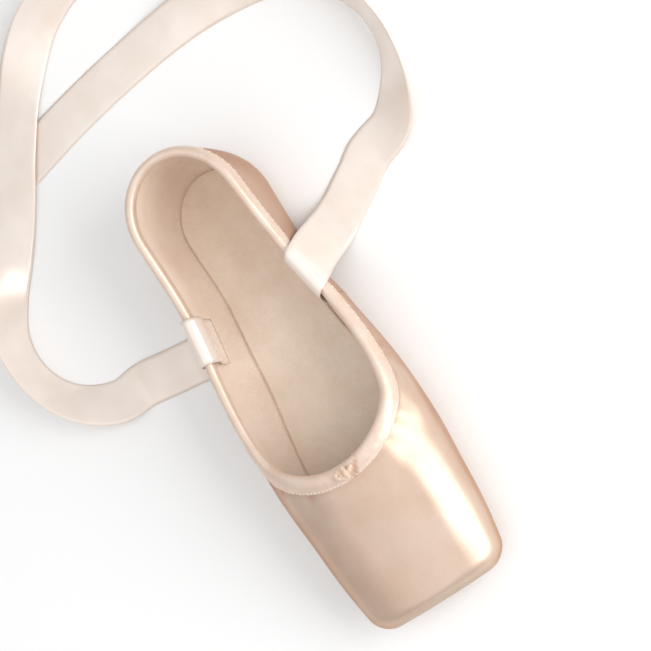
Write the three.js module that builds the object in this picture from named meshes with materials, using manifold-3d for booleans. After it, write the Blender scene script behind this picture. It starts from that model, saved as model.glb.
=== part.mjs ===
// Pointe shoe standing on its sole: a hollow upper with a stiff toe box, a bound collar with the knot
// of its drawstring, a leather outsole, an insole and two satin ribbons that lie on the floor.
// Millimetres. +X runs to the toe, +Y to the shoe's left, +Z up. The origin is on the floor, half way
// along the shoe. The shoe is symmetrical, as straight-lasted shoes are.
import * as THREE from "three";
import { mergeVertices } from "three/addons/utils/BufferGeometryUtils.js";
import Module from "manifold-3d";

// Sizes of the last
const LENGTH = 232; // heel to platform
const BALL_WIDTH = 80.4;
const INSTEP_HEIGHT = 50; // on the middle line at the ball
const HEEL_HEIGHT = 53.5; // collar edge at the back seam
const SIDE_HEIGHT = 38; // collar edge at its lowest, beside the arch
const VAMP_LENGTH = 68; // platform to throat
const HEEL_CENTRE = 31; // centre of the round heel, from its back
const PLATFORM_CORNER = 9.5; // rounding at the sides of the platform
const PLATFORM_EDGE = 3.4; // rounding at its upper and lower edges

// Wall, sole and the room between pieces
const WALL = 2;
const GAP = 0.3;
const OUTSOLE_THICKNESS = 2.6;
const INSOLE_THICKNESS = 1.8;
const ARCH_LIFT = 4.2;
const ARCH_FROM = 52;
const ARCH_TO = 128;
const TOE_SPRING = 3.2;
const SPRING_FROM = 176;

// Outsole plan
const OUTSOLE_BACK = 11;
const OUTSOLE_FRONT = 204;
const OUTSOLE_BACK_ROUND = 18;
const OUTSOLE_FRONT_ROUND = 24;
const SOLE_OVERLAP = 7; // how far the outsole passes under the edge of the upper
const INSOLE_FRONT = 220;
const INSOLE_FRONT_ROUND = 22;
const OUTSOLE_BEVEL = 0.9;
const INSOLE_BEVEL = 0.5;

// Trim
const BINDING = { width: 6, inside: 5, thickness: 0.9, puff: 0.25, room: 0.42 };
const CORD = 2.1;
const KNOT_BELOW_EDGE = 2.2; // foot of the knot, from the edge of the throat
const RIBBON = { width: 22, thickness: 0.5, length: 450, collarAt: 80 };

// A row for each section of the last. at: share of the length, from the heel. half: share of half the
// ball width. widest, top: heights as shares of the instep height. tread: flat underside as a share of
// the half width. cheek, shoulder: fullness of the curve below and above the widest line.
const SECTIONS = [
  { name: "heel", at: 0.134, half: 0.72, widest: 0.4, top: 1.72, tread: 0.74, cheek: 0.6, shoulder: 0.66 },
  { name: "shank", at: 0.3, half: 0.75, widest: 0.5, top: 1.6, tread: 0.66, cheek: 0.55, shoulder: 0.62 },
  { name: "waist", at: 0.43, half: 0.88, widest: 0.5, top: 1.4, tread: 0.62, cheek: 0.55, shoulder: 0.58 },
  { name: "joint", at: 0.56, half: 0.975, widest: 0.47, top: 1.17, tread: 0.69, cheek: 0.58, shoulder: 0.56 },
  { name: "ball", at: 0.677, half: 1, widest: 0.45, top: 1, tread: 0.74, cheek: 0.6, shoulder: 0.56 },
  { name: "vamp", at: 0.8, half: 0.965, widest: 0.42, top: 0.87, tread: 0.75, cheek: 0.6, shoulder: 0.57 },
  { name: "box", at: 0.9, half: 0.918, widest: 0.4, top: 0.77, tread: 0.71, cheek: 0.62, shoulder: 0.58 },
  { name: "toe", at: 1, half: 0.825, widest: 0.39, top: 0.68, tread: 0.64, cheek: 0.62, shoulder: 0.6 },
];

// Edge of the collar seen from the side. at: share of the length. height: share of the way from the side
// height up to the throat or up to the heel.
const COLLAR_BACK = [
  { at: 0, height: 1 },
  { at: 0.13, height: 0.83 },
  { at: 0.26, height: 0.36 },
  { at: 0.4, height: 0.02 },
  { at: 0.45, height: 0 },
];
const COLLAR_FRONT = [
  { at: 0.45, height: 0 },
  { at: 0.53, height: 0.03 },
  { at: 0.58, height: 0.1 },
  { at: 0.62, height: 0.24 },
  { at: 0.655, height: 0.52 },
  { at: 0.681, height: 0.77 },
  { at: 1 - VAMP_LENGTH / LENGTH, height: 1 },
];

// Half widths of the outsole before its ends are rounded
const OUTSOLE_PLAN = [
  { at: 0, half: 17 },
  { at: 0.14, half: 18 },
  { at: 0.3, half: 14 },
  { at: 0.42, half: 13.5 },
  { at: 0.54, half: 18.5 },
  { at: 0.67, half: 24.5 },
  { at: 0.78, half: 24 },
  { at: 1, half: 19 },
];

// A ribbon from its sewn end inside, up over the collar and down the outside to the floor.
// out, up: from the outer edge of the collar. high: from the floor.
const RIBBON_DRAPE = [
  { out: -3.2, up: -19 },
  { out: -2.5, up: -14 },
  { out: -3.3, up: -9 },
  { out: -4.8, up: -4.5 },
  { out: -5, up: -0.5 },
  { out: -3.9, up: 2.6 },
  { out: -1, up: 4.1 },
  { out: 1.8, up: 2.7 },
  { out: 3.1, up: -1.2 },
  { out: 3.5, up: -8 },
  { out: 4.2, up: -16 },
  { out: 5.6, up: -25 },
  { out: 9.6, high: 5.4 },
  { out: 17, high: 1 },
  { out: 26, high: 0.3 },
  { out: 34, high: 0.3 },
];

// How far each ribbon crosses the collar aslant, in degrees
const LEFT_SLANT = 20;
const RIGHT_SLANT = 0;

// The same ribbon along the floor. at: from the heel. out: from the middle line, on the ribbon's own side.
// lean: degrees that its right-hand edge is raised. lift: above the floor, where it lies on the other one.
const LEFT_ROUTE = [
  { at: 40, out: 89, lean: 12, lift: 0 },
  { at: 28, out: 100, lean: 36, lift: 0 },
  { at: 12, out: 107, lean: 56, lift: 0 },
  { at: -6, out: 108, lean: 66, lift: 0 },
  { at: -23, out: 103, lean: 68, lift: 0 },
  { at: -38, out: 92, lean: 62, lift: 0 },
  { at: -49, out: 77, lean: 48, lift: 0 },
  { at: -56, out: 59, lean: 30, lift: 0 },
  { at: -60, out: 39, lean: 14, lift: 0 },
  { at: -61, out: 18, lean: 4, lift: 0 },
  { at: -60, out: -4, lean: 0, lift: 0 },
  { at: -58, out: -26, lean: 0, lift: 0 },
  { at: -55, out: -48, lean: 0, lift: 0 },
  { at: -51, out: -70, lean: 0, lift: 0 },
  { at: -47, out: -92, lean: 0, lift: 0 },
  { at: -42, out: -113, lean: 4, lift: 0 },
  { at: -33, out: -141, lean: 8, lift: 0 },
];
const RIGHT_ROUTE = [
  { at: 72, out: 93, lean: 14, lift: 0 },
  { at: 64, out: 107, lean: 38, lift: 0 },
  { at: 51, out: 117, lean: 58, lift: 0 },
  { at: 35, out: 122, lean: 68, lift: 0 },
  { at: 18, out: 121, lean: 66, lift: 0 },
  { at: 1, out: 114, lean: 50, lift: 0 },
  { at: -15, out: 104, lean: 26, lift: 0.3 },
  { at: -31, out: 93, lean: 6, lift: 1 },
  { at: -47, out: 82, lean: 0, lift: 1.7 },
  { at: -63, out: 71, lean: 0, lift: 1.8 },
  { at: -79, out: 59, lean: 3, lift: 1.2 },
  { at: -92, out: 45, lean: 22, lift: 0.2 },
  { at: -102, out: 28, lean: 44, lift: 0 },
  { at: -107, out: 9, lean: 58, lift: 0 },
  { at: -107, out: -11, lean: 56, lift: 0 },
  { at: -103, out: -31, lean: 36, lift: 0 },
  { at: -96, out: -50, lean: 14, lift: 0 },
  { at: -83, out: -79, lean: 2, lift: 0 },
];

// Strands of the knot. across: to the shoe's left. ahead: down the vamp. high: off the binding.
const KNOT = [
  {
    name: "wrap",
    path: [[0.7, -3.3, 1.4], [1.1, -2.1, 2.4], [1.3, -0.4, 3.1], [1.4, 1.2, 2.4], [1.2, 2.2, 1.5]],
  },
  {
    name: "loop",
    path: [
      [0.9, -0.9, 1.7], [-0.7, -2, 1.8], [-2.4, -2.2, 1.8], [-3.7, -1.5, 1.7],
      [-3.6, -0.4, 1.7], [-2.3, 0.4, 1.7], [-0.6, 1.1, 1.7], [1, 1, 1.7],
    ],
  },
  { name: "tuck", path: [[1, 0.1, 1.8], [-0.7, -0.4, 1.7], [-2.4, -0.9, 1.6]] },
  { name: "tail", path: [[1.2, 0.3, 1.8], [2.6, -0.5, 1.8], [3.9, -1.3, 1.7], [5.1, -2.3, 1.6]] },
];

const satin = { color: 0xe3cdbb, roughness: 0.42, metalness: 0 };
const bound = { color: 0xecd9c9, roughness: 0.45, metalness: 0 };
const leather = { color: 0xb99b7c, roughness: 0.7, metalness: 0 };
const canvas = { color: 0xe6dccb, roughness: 0.85, metalness: 0 };
const cotton = { color: 0xefe3d2, roughness: 0.75, metalness: 0 };
const ribbonSatin = { color: 0xf1e6dc, roughness: 0.38, metalness: 0 };

const wasm = await Module();
wasm.setup();

// A smooth line through one column of a table, level at its first row.
function along(rows, column, at) {
  const last = rows.length - 1;
  let k = 0;
  while (k < last - 1 && at > rows[k + 1].at) k += 1;
  const slope = (i) => {
    if (i === 0) return 0;
    const from = rows[i - 1];
    const to = rows[Math.min(i + 1, last)];
    return (to[column] - from[column]) / (to.at - from.at);
  };
  const span = rows[k + 1].at - rows[k].at;
  const s = THREE.MathUtils.clamp((at - rows[k].at) / span, 0, 1);
  const a = rows[k][column];
  const b = rows[k + 1][column];
  const rise = s * s * (3 - 2 * s);
  const tilt = span * (slope(k) * s * (1 - s) * (1 - s) - slope(k + 1) * s * s * (1 - s));
  return a + (b - a) * rise + tilt;
}

// Underside of the outsole: flat at heel and ball, lifted at the arch and the toe.
function soleRise(x) {
  let rise = 0;
  if (x > ARCH_FROM && x < ARCH_TO) {
    rise = ARCH_LIFT * Math.sin((Math.PI * (x - ARCH_FROM)) / (ARCH_TO - ARCH_FROM)) ** 2;
  }
  if (x > SPRING_FROM) rise = TOE_SPRING * ((x - SPRING_FROM) / (LENGTH - SPRING_FROM)) ** 2;
  return rise;
}

function seat(x) {
  return soleRise(x) + OUTSOLE_THICKNESS + GAP;
}

function sectionAt(x) {
  const at = x / LENGTH;
  const half = (along(SECTIONS, "half", at) * BALL_WIDTH) / 2;
  return {
    half,
    bottom: seat(x),
    tread: along(SECTIONS, "tread", at) * half,
    widest: along(SECTIONS, "widest", at) * INSTEP_HEIGHT,
    top: along(SECTIONS, "top", at) * INSTEP_HEIGHT,
    cheek: along(SECTIONS, "cheek", at),
    shoulder: along(SECTIONS, "shoulder", at),
  };
}

// Half a girth of the last: flat tread, then a curve out to the widest line, then a curve in to the top.
const TREAD_END = 0.3;
const WIDEST_AT = 0.55;

function cubic(s, a, b, c, d) {
  const r = 1 - s;
  return r * r * r * a + 3 * r * r * s * b + 3 * r * s * s * c + s * s * s * d;
}

function girth(f, t) {
  if (t <= TREAD_END) return { y: (f.tread * t) / TREAD_END, z: f.bottom };
  if (t <= WIDEST_AT) {
    const s = (t - TREAD_END) / (WIDEST_AT - TREAD_END);
    return {
      y: cubic(s, f.tread, f.tread + f.cheek * (f.half - f.tread), f.half, f.half),
      z: cubic(s, f.bottom, f.bottom, f.widest - f.cheek * (f.widest - f.bottom), f.widest),
    };
  }
  const s = (t - WIDEST_AT) / (1 - WIDEST_AT);
  return {
    y: cubic(s, f.half, f.half, f.shoulder * f.half, 0),
    z: cubic(s, f.widest, f.widest + f.shoulder * (f.top - f.widest), f.top, f.top),
  };
}

// Outline of the platform, an oval set inside the last's end.
function platformEdge(tip, t) {
  const g = girth(tip, t);
  const middle = (tip.bottom + tip.top) / 2;
  const turn = Math.atan2((g.z - middle) / (tip.top - middle), g.y / tip.half);
  return {
    y: (tip.half - PLATFORM_CORNER) * Math.cos(turn),
    z: middle + (tip.top - middle - PLATFORM_EDGE) * Math.sin(turn),
  };
}

// The last as one surface. u: 0 to 1 round the heel, 1 to 2 along the foot, 2 to 3 over the platform's
// edge. t: 0 under the middle of the sole to 1 on the middle line on top. x is from the heel.
const TOE_FROM = LENGTH - PLATFORM_CORNER;

function footX(u) {
  return HEEL_CENTRE + (u - 1) * (TOE_FROM - HEEL_CENTRE);
}

function footU(x) {
  return 1 + (x - HEEL_CENTRE) / (TOE_FROM - HEEL_CENTRE);
}

function lastPoint(u, t) {
  if (u <= 1) {
    const f = sectionAt(HEEL_CENTRE);
    const g = girth(f, t);
    const turn = (u * Math.PI) / 2;
    const x = HEEL_CENTRE - g.y * (HEEL_CENTRE / f.half) * Math.cos(turn);
    return new THREE.Vector3(x, g.y * Math.sin(turn), g.z);
  }
  if (u <= 2) {
    const g = girth(sectionAt(footX(u)), t);
    return new THREE.Vector3(footX(u), g.y, g.z);
  }
  const tip = sectionAt(LENGTH);
  const edge = platformEdge(tip, t);
  const side = girth(tip, t).y / tip.half;
  const radius = PLATFORM_EDGE + (PLATFORM_CORNER - PLATFORM_EDGE) * side * side;
  const straight = PLATFORM_CORNER - radius;
  const run = (u - 2) * (straight + (radius * Math.PI) / 2);
  const turn = Math.max(run - straight, 0) / radius;
  const x = TOE_FROM + Math.min(run, straight) + radius * Math.sin(turn);
  const g = girth(sectionAt(x), t);
  const share = 1 - Math.cos(turn);
  return new THREE.Vector3(x, g.y + (edge.y - g.y) * share, g.z + (edge.z - g.z) * share);
}

function lastSlopes(u, t) {
  const h = 2e-3;
  const uFrom = Math.max(u - h, 0);
  const uTo = Math.min(u + h, 3);
  const tFrom = Math.max(t - h, 0);
  const tTo = Math.min(t + h, 1);
  return {
    du: lastPoint(uTo, t).sub(lastPoint(uFrom, t)).divideScalar(uTo - uFrom),
    dt: lastPoint(u, tTo).sub(lastPoint(u, tFrom)).divideScalar(tTo - tFrom),
  };
}

function lastFacing(u, t) {
  const { du, dt } = lastSlopes(u, t);
  return dt.cross(du).normalize();
}

// A point off the last: out is outward, so the inside of the wall is at -WALL.
function offLast(u, t, out) {
  const p = lastPoint(u, t);
  const onMiddle = Math.abs(p.y) < 1e-6;
  p.addScaledVector(lastFacing(u, t), out);
  if (onMiddle) p.y = 0;
  return p;
}

// Collar
const THROAT_X = LENGTH - VAMP_LENGTH;
const THROAT_U = footU(THROAT_X);
const THROAT_TOP = sectionAt(THROAT_X).top;

function collarHeight(x) {
  const at = x / LENGTH;
  if (at < COLLAR_FRONT[0].at) {
    return SIDE_HEIGHT + (HEEL_HEIGHT - SIDE_HEIGHT) * along(COLLAR_BACK, "height", at);
  }
  return SIDE_HEIGHT + (THROAT_TOP - SIDE_HEIGHT) * along(COLLAR_FRONT, "height", at);
}

function collarX(u) {
  return u <= 1 ? HEEL_CENTRE * (1 - Math.cos((u * Math.PI) / 2)) : footX(u);
}

function collarT(u) {
  if (u >= THROAT_U) return 1;
  const f = sectionAt(Math.max(collarX(u), HEEL_CENTRE));
  const height = collarHeight(collarX(u));
  let low = WIDEST_AT;
  let high = 1;
  for (let k = 0; k < 40; k += 1) {
    const middle = (low + high) / 2;
    if (girth(f, middle).z < height) low = middle;
    else high = middle;
  }
  return (low + high) / 2;
}

// Outsole outline drawn in by an inset, round at both ends.
function outsoleHalf(x, inset) {
  const back = OUTSOLE_BACK + inset;
  const front = OUTSOLE_FRONT - inset;
  if (x <= back || x >= front) return 0;
  const backRound = OUTSOLE_BACK_ROUND - inset;
  const frontRound = OUTSOLE_FRONT_ROUND - inset;
  const backShare = Math.min((x - back) / backRound, 1);
  const frontShare = Math.min((front - x) / frontRound, 1);
  const round = Math.sqrt(1 - (1 - backShare) ** 2) * Math.sqrt(1 - (1 - frontShare) ** 2);
  return (along(OUTSOLE_PLAN, "half", x / LENGTH) - inset) * round;
}

// Where the underside of the upper starts, beside the hole that the sole closes.
function openingT(u) {
  const x = Math.max(u <= 1 ? HEEL_CENTRE : footX(u), HEEL_CENTRE);
  if (u > 2) return 0;
  return (outsoleHalf(x, SOLE_OVERLAP) / sectionAt(x).tread) * TREAD_END;
}

const OPENING_FRONT_U = footU(OUTSOLE_FRONT - SOLE_OVERLAP);

// Solids are gathered as triangles and welded.
function newSkin() {
  const places = [];
  const put = (p) => places.push(p.x - LENGTH / 2, p.y, p.z);
  const triangle = (a, b, c) => [a, b, c].forEach(put);
  const quad = (a, b, c, d) => {
    triangle(a, b, c);
    triangle(a, c, d);
  };
  const geometry = () => {
    const loose = new THREE.BufferGeometry();
    loose.setAttribute("position", new THREE.Float32BufferAttribute(places, 3));
    const welded = mergeVertices(loose, 1e-3);
    const index = welded.index.array;
    const kept = [];
    for (let k = 0; k < index.length; k += 3) {
      const [a, b, c] = [index[k], index[k + 1], index[k + 2]];
      if (a !== b && b !== c && c !== a) kept.push(a, b, c);
    }
    welded.setIndex(kept);
    welded.computeVertexNormals();
    return welded;
  };
  return { triangle, quad, geometry };
}

function flipY(p) {
  return new THREE.Vector3(p.x, -p.y, p.z);
}

// Both halves of a mirror-symmetrical skin, from the half on the shoe's left.
function mirrored(skin) {
  const triangle = (a, b, c) => {
    skin.triangle(a, b, c);
    skin.triangle(flipY(a), flipY(c), flipY(b));
  };
  const quad = (a, b, c, d) => {
    triangle(a, b, c);
    triangle(a, c, d);
  };
  return { triangle, quad };
}

function spread(from, to, count) {
  return Array.from({ length: count }, (_, k) => from + ((to - from) * k) / count);
}

// Stations along the last, closer together where the collar turns across the throat.
const THROAT_TURN = 28;
const THROAT_STEPS = 10;
const throatStations = Array.from({ length: THROAT_STEPS }, (_, k) => {
  return footU(THROAT_X - THROAT_TURN * (1 - k / THROAT_STEPS) ** 2);
});
const STATIONS = [
  ...spread(0, 1, 8),
  ...spread(1, footU(THROAT_X - THROAT_TURN), 12),
  ...throatStations,
  ...spread(THROAT_U, OPENING_FRONT_U, 6),
  ...spread(OPENING_FRONT_U, 2, 3),
  ...spread(2, 3, 5),
  3,
];
const COLUMNS = { tread: 2, cheek: 4, shoulder: 7 };

function columnsAt(u) {
  const start = openingT(u);
  const end = collarT(u);
  return [
    ...spread(start, TREAD_END, COLUMNS.tread),
    ...spread(TREAD_END, WIDEST_AT, COLUMNS.cheek),
    ...spread(WIDEST_AT, end, COLUMNS.shoulder),
    end,
  ];
}

function upper() {
  const skin = newSkin();
  const both = mirrored(skin);
  const outer = STATIONS.map((u) => columnsAt(u).map((t) => offLast(u, t, 0)));
  const inner = STATIONS.map((u) => columnsAt(u).map((t) => offLast(u, t, -WALL)));
  const rim = COLUMNS.tread + COLUMNS.cheek + COLUMNS.shoulder;
  for (let i = 0; i + 1 < STATIONS.length; i += 1) {
    for (let j = 0; j < rim; j += 1) {
      both.quad(outer[i][j], outer[i][j + 1], outer[i + 1][j + 1], outer[i + 1][j]);
      both.quad(inner[i][j], inner[i + 1][j], inner[i + 1][j + 1], inner[i][j + 1]);
    }
    if (openingT(STATIONS[i]) > 0) {
      both.quad(outer[i][0], outer[i + 1][0], inner[i + 1][0], inner[i][0]);
    }
    if (collarT(STATIONS[i]) < 1) {
      both.quad(outer[i + 1][rim], outer[i][rim], inner[i][rim], inner[i + 1][rim]);
    }
  }
  const tip = sectionAt(LENGTH);
  const platform = new THREE.Vector3(LENGTH, 0, (tip.bottom + tip.top) / 2);
  const inside = new THREE.Vector3(LENGTH - WALL, 0, (tip.bottom + tip.top) / 2);
  const end = STATIONS.length - 1;
  for (let j = 0; j < rim; j += 1) {
    both.triangle(outer[end][j], outer[end][j + 1], platform);
    both.triangle(inner[end][j + 1], inner[end][j], inside);
  }
  return skin.geometry();
}

// A flat piece lofted along the shoe, with bevelled edges. Its two ends close to an upright edge.
function plate(stations, halfAt, lowAt, highAt, bevel) {
  const skin = newSkin();
  const both = mirrored(skin);
  const rows = stations.map((x) => {
    const half = halfAt(x);
    const low = lowAt(x);
    const high = highAt(x);
    const b = Math.min(bevel, half * 0.5);
    return [
      new THREE.Vector3(x, 0, low),
      new THREE.Vector3(x, half - b, low),
      new THREE.Vector3(x, half, low + b),
      new THREE.Vector3(x, half, high - b * 0.4),
      new THREE.Vector3(x, half - b * 0.4, high),
      new THREE.Vector3(x, 0, high),
    ];
  });
  for (let i = 0; i + 1 < rows.length; i += 1) {
    for (let j = 0; j + 1 < rows[i].length; j += 1) {
      both.quad(rows[i][j], rows[i][j + 1], rows[i + 1][j + 1], rows[i + 1][j]);
    }
  }
  return skin.geometry();
}

// Stations that crowd towards both ends, where the outline is round.
function endedStations(back, front, round, count) {
  const steps = 7;
  const ease = (k) => 1 - Math.cos((k / steps) * (Math.PI / 2));
  const first = Array.from({ length: steps }, (_, k) => back + round * ease(k));
  const last = Array.from({ length: steps }, (_, k) => front - round * ease(k)).reverse();
  return [...first, ...spread(back + round, front - round, count), front - round, ...last];
}

function outsole() {
  const stations = endedStations(OUTSOLE_BACK, OUTSOLE_FRONT, OUTSOLE_BACK_ROUND, 24);
  const low = (x) => soleRise(x);
  const high = (x) => soleRise(x) + OUTSOLE_THICKNESS;
  return plate(stations, (x) => outsoleHalf(x, 0), low, high, OUTSOLE_BEVEL);
}

function insoleHalf(x) {
  const heel = sectionAt(HEEL_CENTRE);
  const reach = heel.tread * (HEEL_CENTRE / heel.half);
  const back = HEEL_CENTRE - reach;
  if (x < HEEL_CENTRE) return heel.tread * Math.sqrt(Math.max(1 - ((HEEL_CENTRE - x) / reach) ** 2, 0));
  const share = THREE.MathUtils.clamp((INSOLE_FRONT - x) / INSOLE_FRONT_ROUND, 0, 1);
  return x <= back ? 0 : sectionAt(x).tread * Math.sqrt(1 - (1 - share) ** 2);
}

function insole() {
  const heel = sectionAt(HEEL_CENTRE);
  const back = HEEL_CENTRE - heel.tread * (HEEL_CENTRE / heel.half);
  const stations = endedStations(back, INSOLE_FRONT, INSOLE_FRONT_ROUND, 24);
  const low = (x) => seat(x) + WALL + GAP;
  return plate(stations, insoleHalf, low, (x) => low(x) + INSOLE_THICKNESS, INSOLE_BEVEL);
}

// Evenly spaced places on the collar edge, from the throat to the back seam.
function collarLine(count) {
  const fine = Array.from({ length: 601 }, (_, k) => THROAT_U * (1 - (k / 600) ** 2));
  const points = fine.map((u) => lastPoint(u, collarT(u)));
  const lengths = [0];
  for (let k = 1; k < points.length; k += 1) {
    lengths.push(lengths[k - 1] + points[k].distanceTo(points[k - 1]));
  }
  const total = lengths[lengths.length - 1];
  const line = [];
  let k = 0;
  for (let n = 0; n <= count; n += 1) {
    const wanted = (total * n) / count;
    while (k < fine.length - 2 && lengths[k + 1] < wanted) k += 1;
    const share = (wanted - lengths[k]) / (lengths[k + 1] - lengths[k]);
    const u = fine[k] + (fine[k + 1] - fine[k]) * THREE.MathUtils.clamp(share, 0, 1);
    line.push({ u, t: collarT(u) });
  }
  return line;
}

// From a place on the last, walk a distance over its surface in one direction.
function walkLast(place, direction, distance) {
  const steps = 4;
  let { u, t } = place;
  for (let k = 0; k < steps; k += 1) {
    const { du, dt } = lastSlopes(u, t);
    const uu = du.dot(du);
    const ut = du.dot(dt);
    const tt = dt.dot(dt);
    const along1 = du.dot(direction) * (distance / steps);
    const along2 = dt.dot(direction) * (distance / steps);
    const det = uu * tt - ut * ut;
    u += (along1 * tt - along2 * ut) / det;
    t = Math.min(t + (along2 * uu - along1 * ut) / det, 1);
  }
  return { u, t };
}

// The binding is a folded strip: a leg outside, a round over the edge and a leg inside.
function binding() {
  const { width, inside, thickness, puff, room } = BINDING;
  const crown = WALL / 2 + room + thickness;
  const line = collarLine(42);
  const places = line.map((p) => lastPoint(p.u, p.t));
  const rows = line.map((place, k) => {
    const here = places[k];
    const onMiddle = k === 0 || k === line.length - 1;
    const next = places[Math.min(k + 1, line.length - 1)];
    const before = places[Math.max(k - 1, 0)];
    const run = onMiddle ? new THREE.Vector3(0, k === 0 ? 1 : -1, 0) : next.clone().sub(before).normalize();
    const facing = lastFacing(place.u, place.t);
    if (onMiddle) facing.setY(0).normalize();
    const down = run.clone().cross(facing).normalize();
    const point = (below, out) => {
      let p;
      if (below > 0) {
        const there = walkLast(place, down, below);
        p = offLast(there.u, there.t, out);
      } else {
        p = here.clone().addScaledVector(facing, out).addScaledVector(down, below);
      }
      if (onMiddle) p.y = 0;
      return p;
    };
    const bend = (degrees) => {
      const a = THREE.MathUtils.degToRad(degrees);
      return point(-crown * Math.sin(a), crown * Math.cos(a) - WALL / 2);
    };
    return [
      point(width, room),
      point(width, room + thickness),
      point(width / 2, room + thickness + puff),
      point(0.6, room + thickness + puff * 0.4),
      bend(38),
      bend(75),
      bend(105),
      bend(142),
      point(0.6, -WALL - room - thickness),
      point(inside, -WALL - room - thickness),
      point(inside, -WALL - room),
      point(-room, -WALL - room),
      point(-room, room),
    ];
  });
  const skin = newSkin();
  const both = mirrored(skin);
  for (let i = 0; i + 1 < rows.length; i += 1) {
    for (let j = 0; j < rows[i].length; j += 1) {
      const n = (j + 1) % rows[i].length;
      both.quad(rows[i][j], rows[i + 1][j], rows[i + 1][n], rows[i][n]);
    }
  }
  return skin.geometry();
}

// A short length of cord along a smooth path, closed at both ends.
function strand(path) {
  const points = path.map(([across, ahead, high]) => new THREE.Vector3(ahead, across, high));
  const curve = new THREE.CatmullRomCurve3(points);
  const steps = 10;
  const sides = 7;
  const tube = new THREE.TubeGeometry(curve, steps, CORD / 2, sides, false);
  const position = tube.getAttribute("position");
  const at = (i, j) => new THREE.Vector3().fromBufferAttribute(position, i * (sides + 1) + (j % sides));
  const places = [];
  const triangle = (a, b, c) => [a, b, c].forEach((p) => places.push(p.x, p.y, p.z));
  for (let i = 0; i < steps; i += 1) {
    for (let j = 0; j < sides; j += 1) {
      triangle(at(i, j), at(i + 1, j), at(i + 1, j + 1));
      triangle(at(i, j), at(i + 1, j + 1), at(i, j + 1));
    }
  }
  for (let j = 0; j < sides; j += 1) {
    triangle(curve.getPoint(0), at(0, j), at(0, j + 1));
    triangle(curve.getPoint(1), at(steps, j + 1), at(steps, j));
  }
  const loose = new THREE.BufferGeometry();
  loose.setAttribute("position", new THREE.Float32BufferAttribute(places, 3));
  const welded = mergeVertices(loose, 1e-4);
  return new wasm.Manifold(
    new wasm.Mesh({
      numProp: 3,
      vertProperties: new Float32Array(welded.getAttribute("position").array),
      triVerts: new Uint32Array(welded.index.array),
    }),
  );
}

function knot() {
  const joined = KNOT.map((row) => strand(row.path)).reduce((a, b) => a.add(b));
  const mesh = joined.getMesh();
  const geometry = new THREE.BufferGeometry();
  geometry.setAttribute("position", new THREE.Float32BufferAttribute(mesh.vertProperties, 3));
  geometry.setIndex(new THREE.Uint32BufferAttribute(mesh.triVerts, 1));
  const place = walkLast({ u: THROAT_U, t: 1 }, new THREE.Vector3(1, 0, 0), KNOT_BELOW_EDGE);
  const facing = lastFacing(place.u, 1).setY(0).normalize();
  const ahead = new THREE.Vector3(0, 1, 0).cross(facing);
  const turn = new THREE.Matrix4().makeBasis(ahead, new THREE.Vector3(0, 1, 0), facing);
  const foot = offLast(place.u, 1, BINDING.thickness + BINDING.puff);
  turn.setPosition(foot.x - LENGTH / 2, 0, foot.z);
  geometry.applyMatrix4(turn);
  geometry.computeVertexNormals();
  return geometry;
}

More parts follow.
